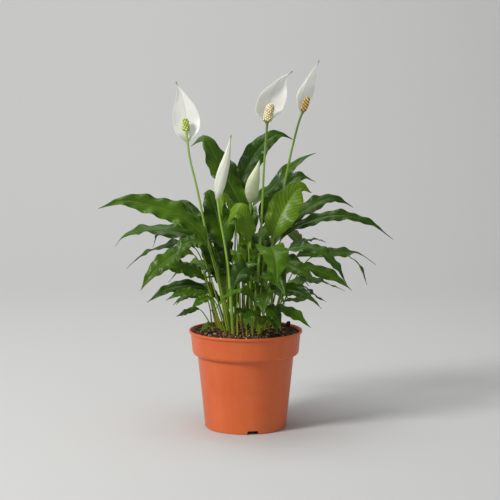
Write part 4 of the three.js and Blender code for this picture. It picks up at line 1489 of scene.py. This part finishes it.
# A stalk's foot, heading and spine are as for a leaf, and its sheath is the sheath's radius in
# mm and its share of the stalk. A spathe's or bud's spine is (right, back, up) in mm from the
# top of its stalk.
flowerRows = {
    "flower_left": {
        "stalk": dict(foot=(-20, -20), heading=185, sheath=(3.1, 0.3), finish="flowerStalk",
            spine=((37, 290), (45, 330), (54, 372), (62, 406), (67, 446))),
        "spathe": dict(heading=95, width=41, roll=-4, curl=1.5, twist=-10, belly=1.0, finish="openSpathe",
            spine=((1, 2.4, -17), (1, 7, -6), (0, 13, 15), (-4, 16, 41), (-9, 15, 57), (-15, 11, 71))),
        "spadix": dict(length=18.5, width=9.2, lean=(-0.1, 0.02, 1), florets=48, finish="greenSpadix"),
    },
    "flower_middle": {
        "stalk": dict(foot=(12, -22), heading=2, sheath=(3.2, 0.3), finish="darkNeckStalk",
            spine=((10, 288), (13, 345), (15, 392), (20, 460))),
        "spathe": dict(heading=101, width=46, roll=3, curl=1.9, twist=10, belly=1.08, finish="openSpathe",
            spine=((-1, 2.4, -5), (-1, 11, 6), (4, 18, 26), (11, 20, 47), (21, 18, 62), (37, 14, 72))),
        "spadix": dict(length=26, width=12.4, lean=(0.2, -0.05, 1), florets=84, finish="creamSpadix"),
    },
    "flower_right": {
        "stalk": dict(foot=(14, 5), heading=0, sheath=(3.2, 0.3), finish="darkNeckStalk",
            spine=((41, 350), (46, 376), (56, 423), (66, 461), (71, 474))),
        # the right spathe takes the brighter lit copy of the open spathe's material
        "spathe": dict(heading=124, width=33, roll=4, curl=2.1, twist=8, belly=1.12, finish="thinSpathe",
            spine=((-1, 1.6, -5), (-3, 7, 5), (-1, 12, 20), (6, 15, 41), (14, 14, 57), (24, 10, 74))),
        "spadix": dict(length=22, width=8.4, lean=(0.33, -0.05, 1), florets=56, finish="tanSpadix"),
    },
    "bud_left": {
        "stalk": dict(foot=(-18, -48), heading=180, sheath=(2.9, 0.45), finish="flowerStalk",
            spine=((8, 253), (13, 285), (20, 325), (23, 348))),
        "bud": dict(width=15.5, start=2.2, twist=1.0, finish="closedSpathe",
            spine=((-0.4, 0, -2), (5, 0, 28), (14, 0, 62), (20, 0, 92))),
    },
    "bud_middle": {
        "stalk": dict(foot=(8, -2), heading=180, sheath=(3.0, 0.6), finish="flowerStalk",
            spine=((1, 240), (1, 340))),
        "bud": dict(width=19, start=1.2, twist=0.8, finish="greenBud",
            spine=((0, 0, -2), (3, 0, 24), (9, 0, 46), (14, 0, 62))),
    },
}
stalkRadius = {"foot": 1.95, "top": 1.5}


def flowerPath(name, top, offsets):
    return pathMesh(name, smoothPath([top + Vector(offset) * mm for offset in offsets]))


def growStalk(name, row, tree, finish):
    # returns the place of its top
    points = riseFrom(row["foot"], row["heading"], row["spine"])
    sheath, sheathShare = row["sheath"]
    values = {
        "Foot": stalkRadius["foot"] * mm,
        "Top": stalkRadius["top"] * mm,
        "Sheath": sheath * mm,
        "Sheath Share": sheathShare,
        "Finish": finish[row["finish"]],
    }
    path = pathMesh(name, smoothPath(points, pathValues["stalkSteps"]))
    mesh = grow(name + ".stalk", path, tree, values, sharp=60)
    addPiece(name.replace("_", ".") + ".stalk", mesh, "flower_stalk", name + "_stalk")
    return points[-1]


def growBud(name, row, top, tree, finish):
    values = {
        "Side": (0.0, 1.0, 0.0),
        "Width": row["width"] * mm,
        "Start": row["start"],
        "Twist": row["twist"],
        "Finish": finish[row["finish"]],
    }
    mesh = grow(name + ".spathe", flowerPath(name, top, row["spine"]), tree, values, sharp=60)
    addPiece(name.replace("_", ".") + ".spathe", mesh, "spathe", name + "_spathe")


def growSpathe(name, row, top, tree, finish, phase):
    values = {
        "Side": sideways(row["heading"]),
        "Width": row["width"] * mm,
        "Roll": math.radians(row["roll"]),
        "Twist": math.radians(row["twist"]),
        "Curl": row["curl"],
        "Belly": row["belly"],
        "Phase": phase,
        "Finish": finish[row["finish"]],
    }
    mesh = grow(name + ".spathe", flowerPath(name, top, row["spine"]), tree, values, sharp=60)
    addPiece(name.replace("_", ".") + ".spathe", mesh, "spathe", name + "_spathe")


def growSpadix(name, row, top, tree, finish, seed):
    lean = Vector(row["lean"]).normalized()
    base, length = top - lean * 0.6 * mm, row["length"] * mm
    count = pathValues["spadixSteps"]
    path = [base + lean * length * i / count for i in range(count + 1)]
    values = {
        "Side": (1.0, 0.0, 0.0),
        "Width": row["width"] * mm,
        "Florets": row["florets"],
        "Seed": seed,
        "Finish": finish[row["finish"]],
    }
    mesh = grow(name + ".spadix", pathMesh(name, path), tree, values)
    addPiece(name.replace("_", ".") + ".spadix", mesh, "spadix", name + "_spadix")


def makeFlowers():
    stalkTree, spatheTree = makeStalkTree(), makeSpatheTree()
    budTree, spadixTree = makeBudTree(), makeSpadixTree()
    spathes = {name: makeSpatheMaterial(name) for name in spatheFinish}
    stalks = {name: makeStalkMaterial(name) for name in stalkFinish}
    spadices = {name: makeSpadixMaterial(name) for name in spadixFinish}
    for number, (name, row) in enumerate(flowerRows.items()):
        top = growStalk(name, row["stalk"], stalkTree, stalks)
        if "bud" in row:
            growBud(name, row["bud"], top, budTree, spathes)
        else:
            growSpathe(name, row["spathe"], top, spatheTree, spathes, number * 2.0)
            growSpadix(name, row["spadix"], top, spadixTree, spadices, number + 3)


makeFlowers()
print("flowers done")


# an arched dried root, a dry sheath by the crown and an upright chip of bark, in mm
driedBits = {
    "rootArch": {
        "path": ((-17, -50, -2), (-14, -53, 12), (-9, -55, 20), (-5, -57, 13), (-4, -60, 4), (-3, -63, -1)),
        "foot": 1.25, "top": 0.9,
    },
    "drySheath": {
        "path": ((-40, -8, -2), (-43, -10, 12), (-47, -12, 24), (-52, -14, 31)),
        "foot": 2.4, "top": 0.5,
    },
}
uprightBark = {
    "place": (64, 30),
    "size": (3.8, 1.8, 5.6),
    "turn": (12, 22, 35),
    "lift": 3.2,
    "roughness": 0.35,
}


def makeDriedBits():
    brown = makeMixMaterial("driedPlant")
    tree = makeStalkTree()
    for name, bit in driedBits.items():
        path = [Vector((x, y, mixHeight(x, y) + up)) * mm for x, y, up in bit["path"]]
        values = {"Foot": bit["foot"] * mm, "Top": bit["top"] * mm, "Sheath": bit["foot"] * mm,
            "Sheath Share": 0.0, "Flare": 0.0, "Finish": brown}
        path = pathMesh(name, smoothPath(path, pathValues["rootSteps"]))
        addPiece(name, grow(name, path, tree, values), "potting_mix")

    shell = bmesh.new()
    bmesh.ops.create_icosphere(shell, subdivisions=3, radius=1.0)
    x, y = uprightBark["place"]
    center = Vector((x, y, mixHeight(x, y) + uprightBark["lift"]))
    turn = Euler([math.radians(angle) for angle in uprightBark["turn"]])
    for vertex in shell.verts:
        rough = noise.noise(vertex.co * 1.9 + Vector((4, 1, 7)))
        point = vertex.co * (1.0 + uprightBark["roughness"] * rough)
        point = Vector([part * size for part, size in zip(point, uprightBark["size"])])
        point.rotate(turn)
        vertex.co = (center + point) * mm
    mesh = bpy.data.meshes.new("uprightBark")
    shell.to_mesh(mesh)
    shell.free()
    mesh.materials.append(makeMixMaterial("darkBark"))
    mesh.set_sharp_from_angle(angle=math.radians(30))
    addPiece("uprightBark", mesh, "potting_mix")


makeDriedBits()
print("dried bits done")


print("all done")
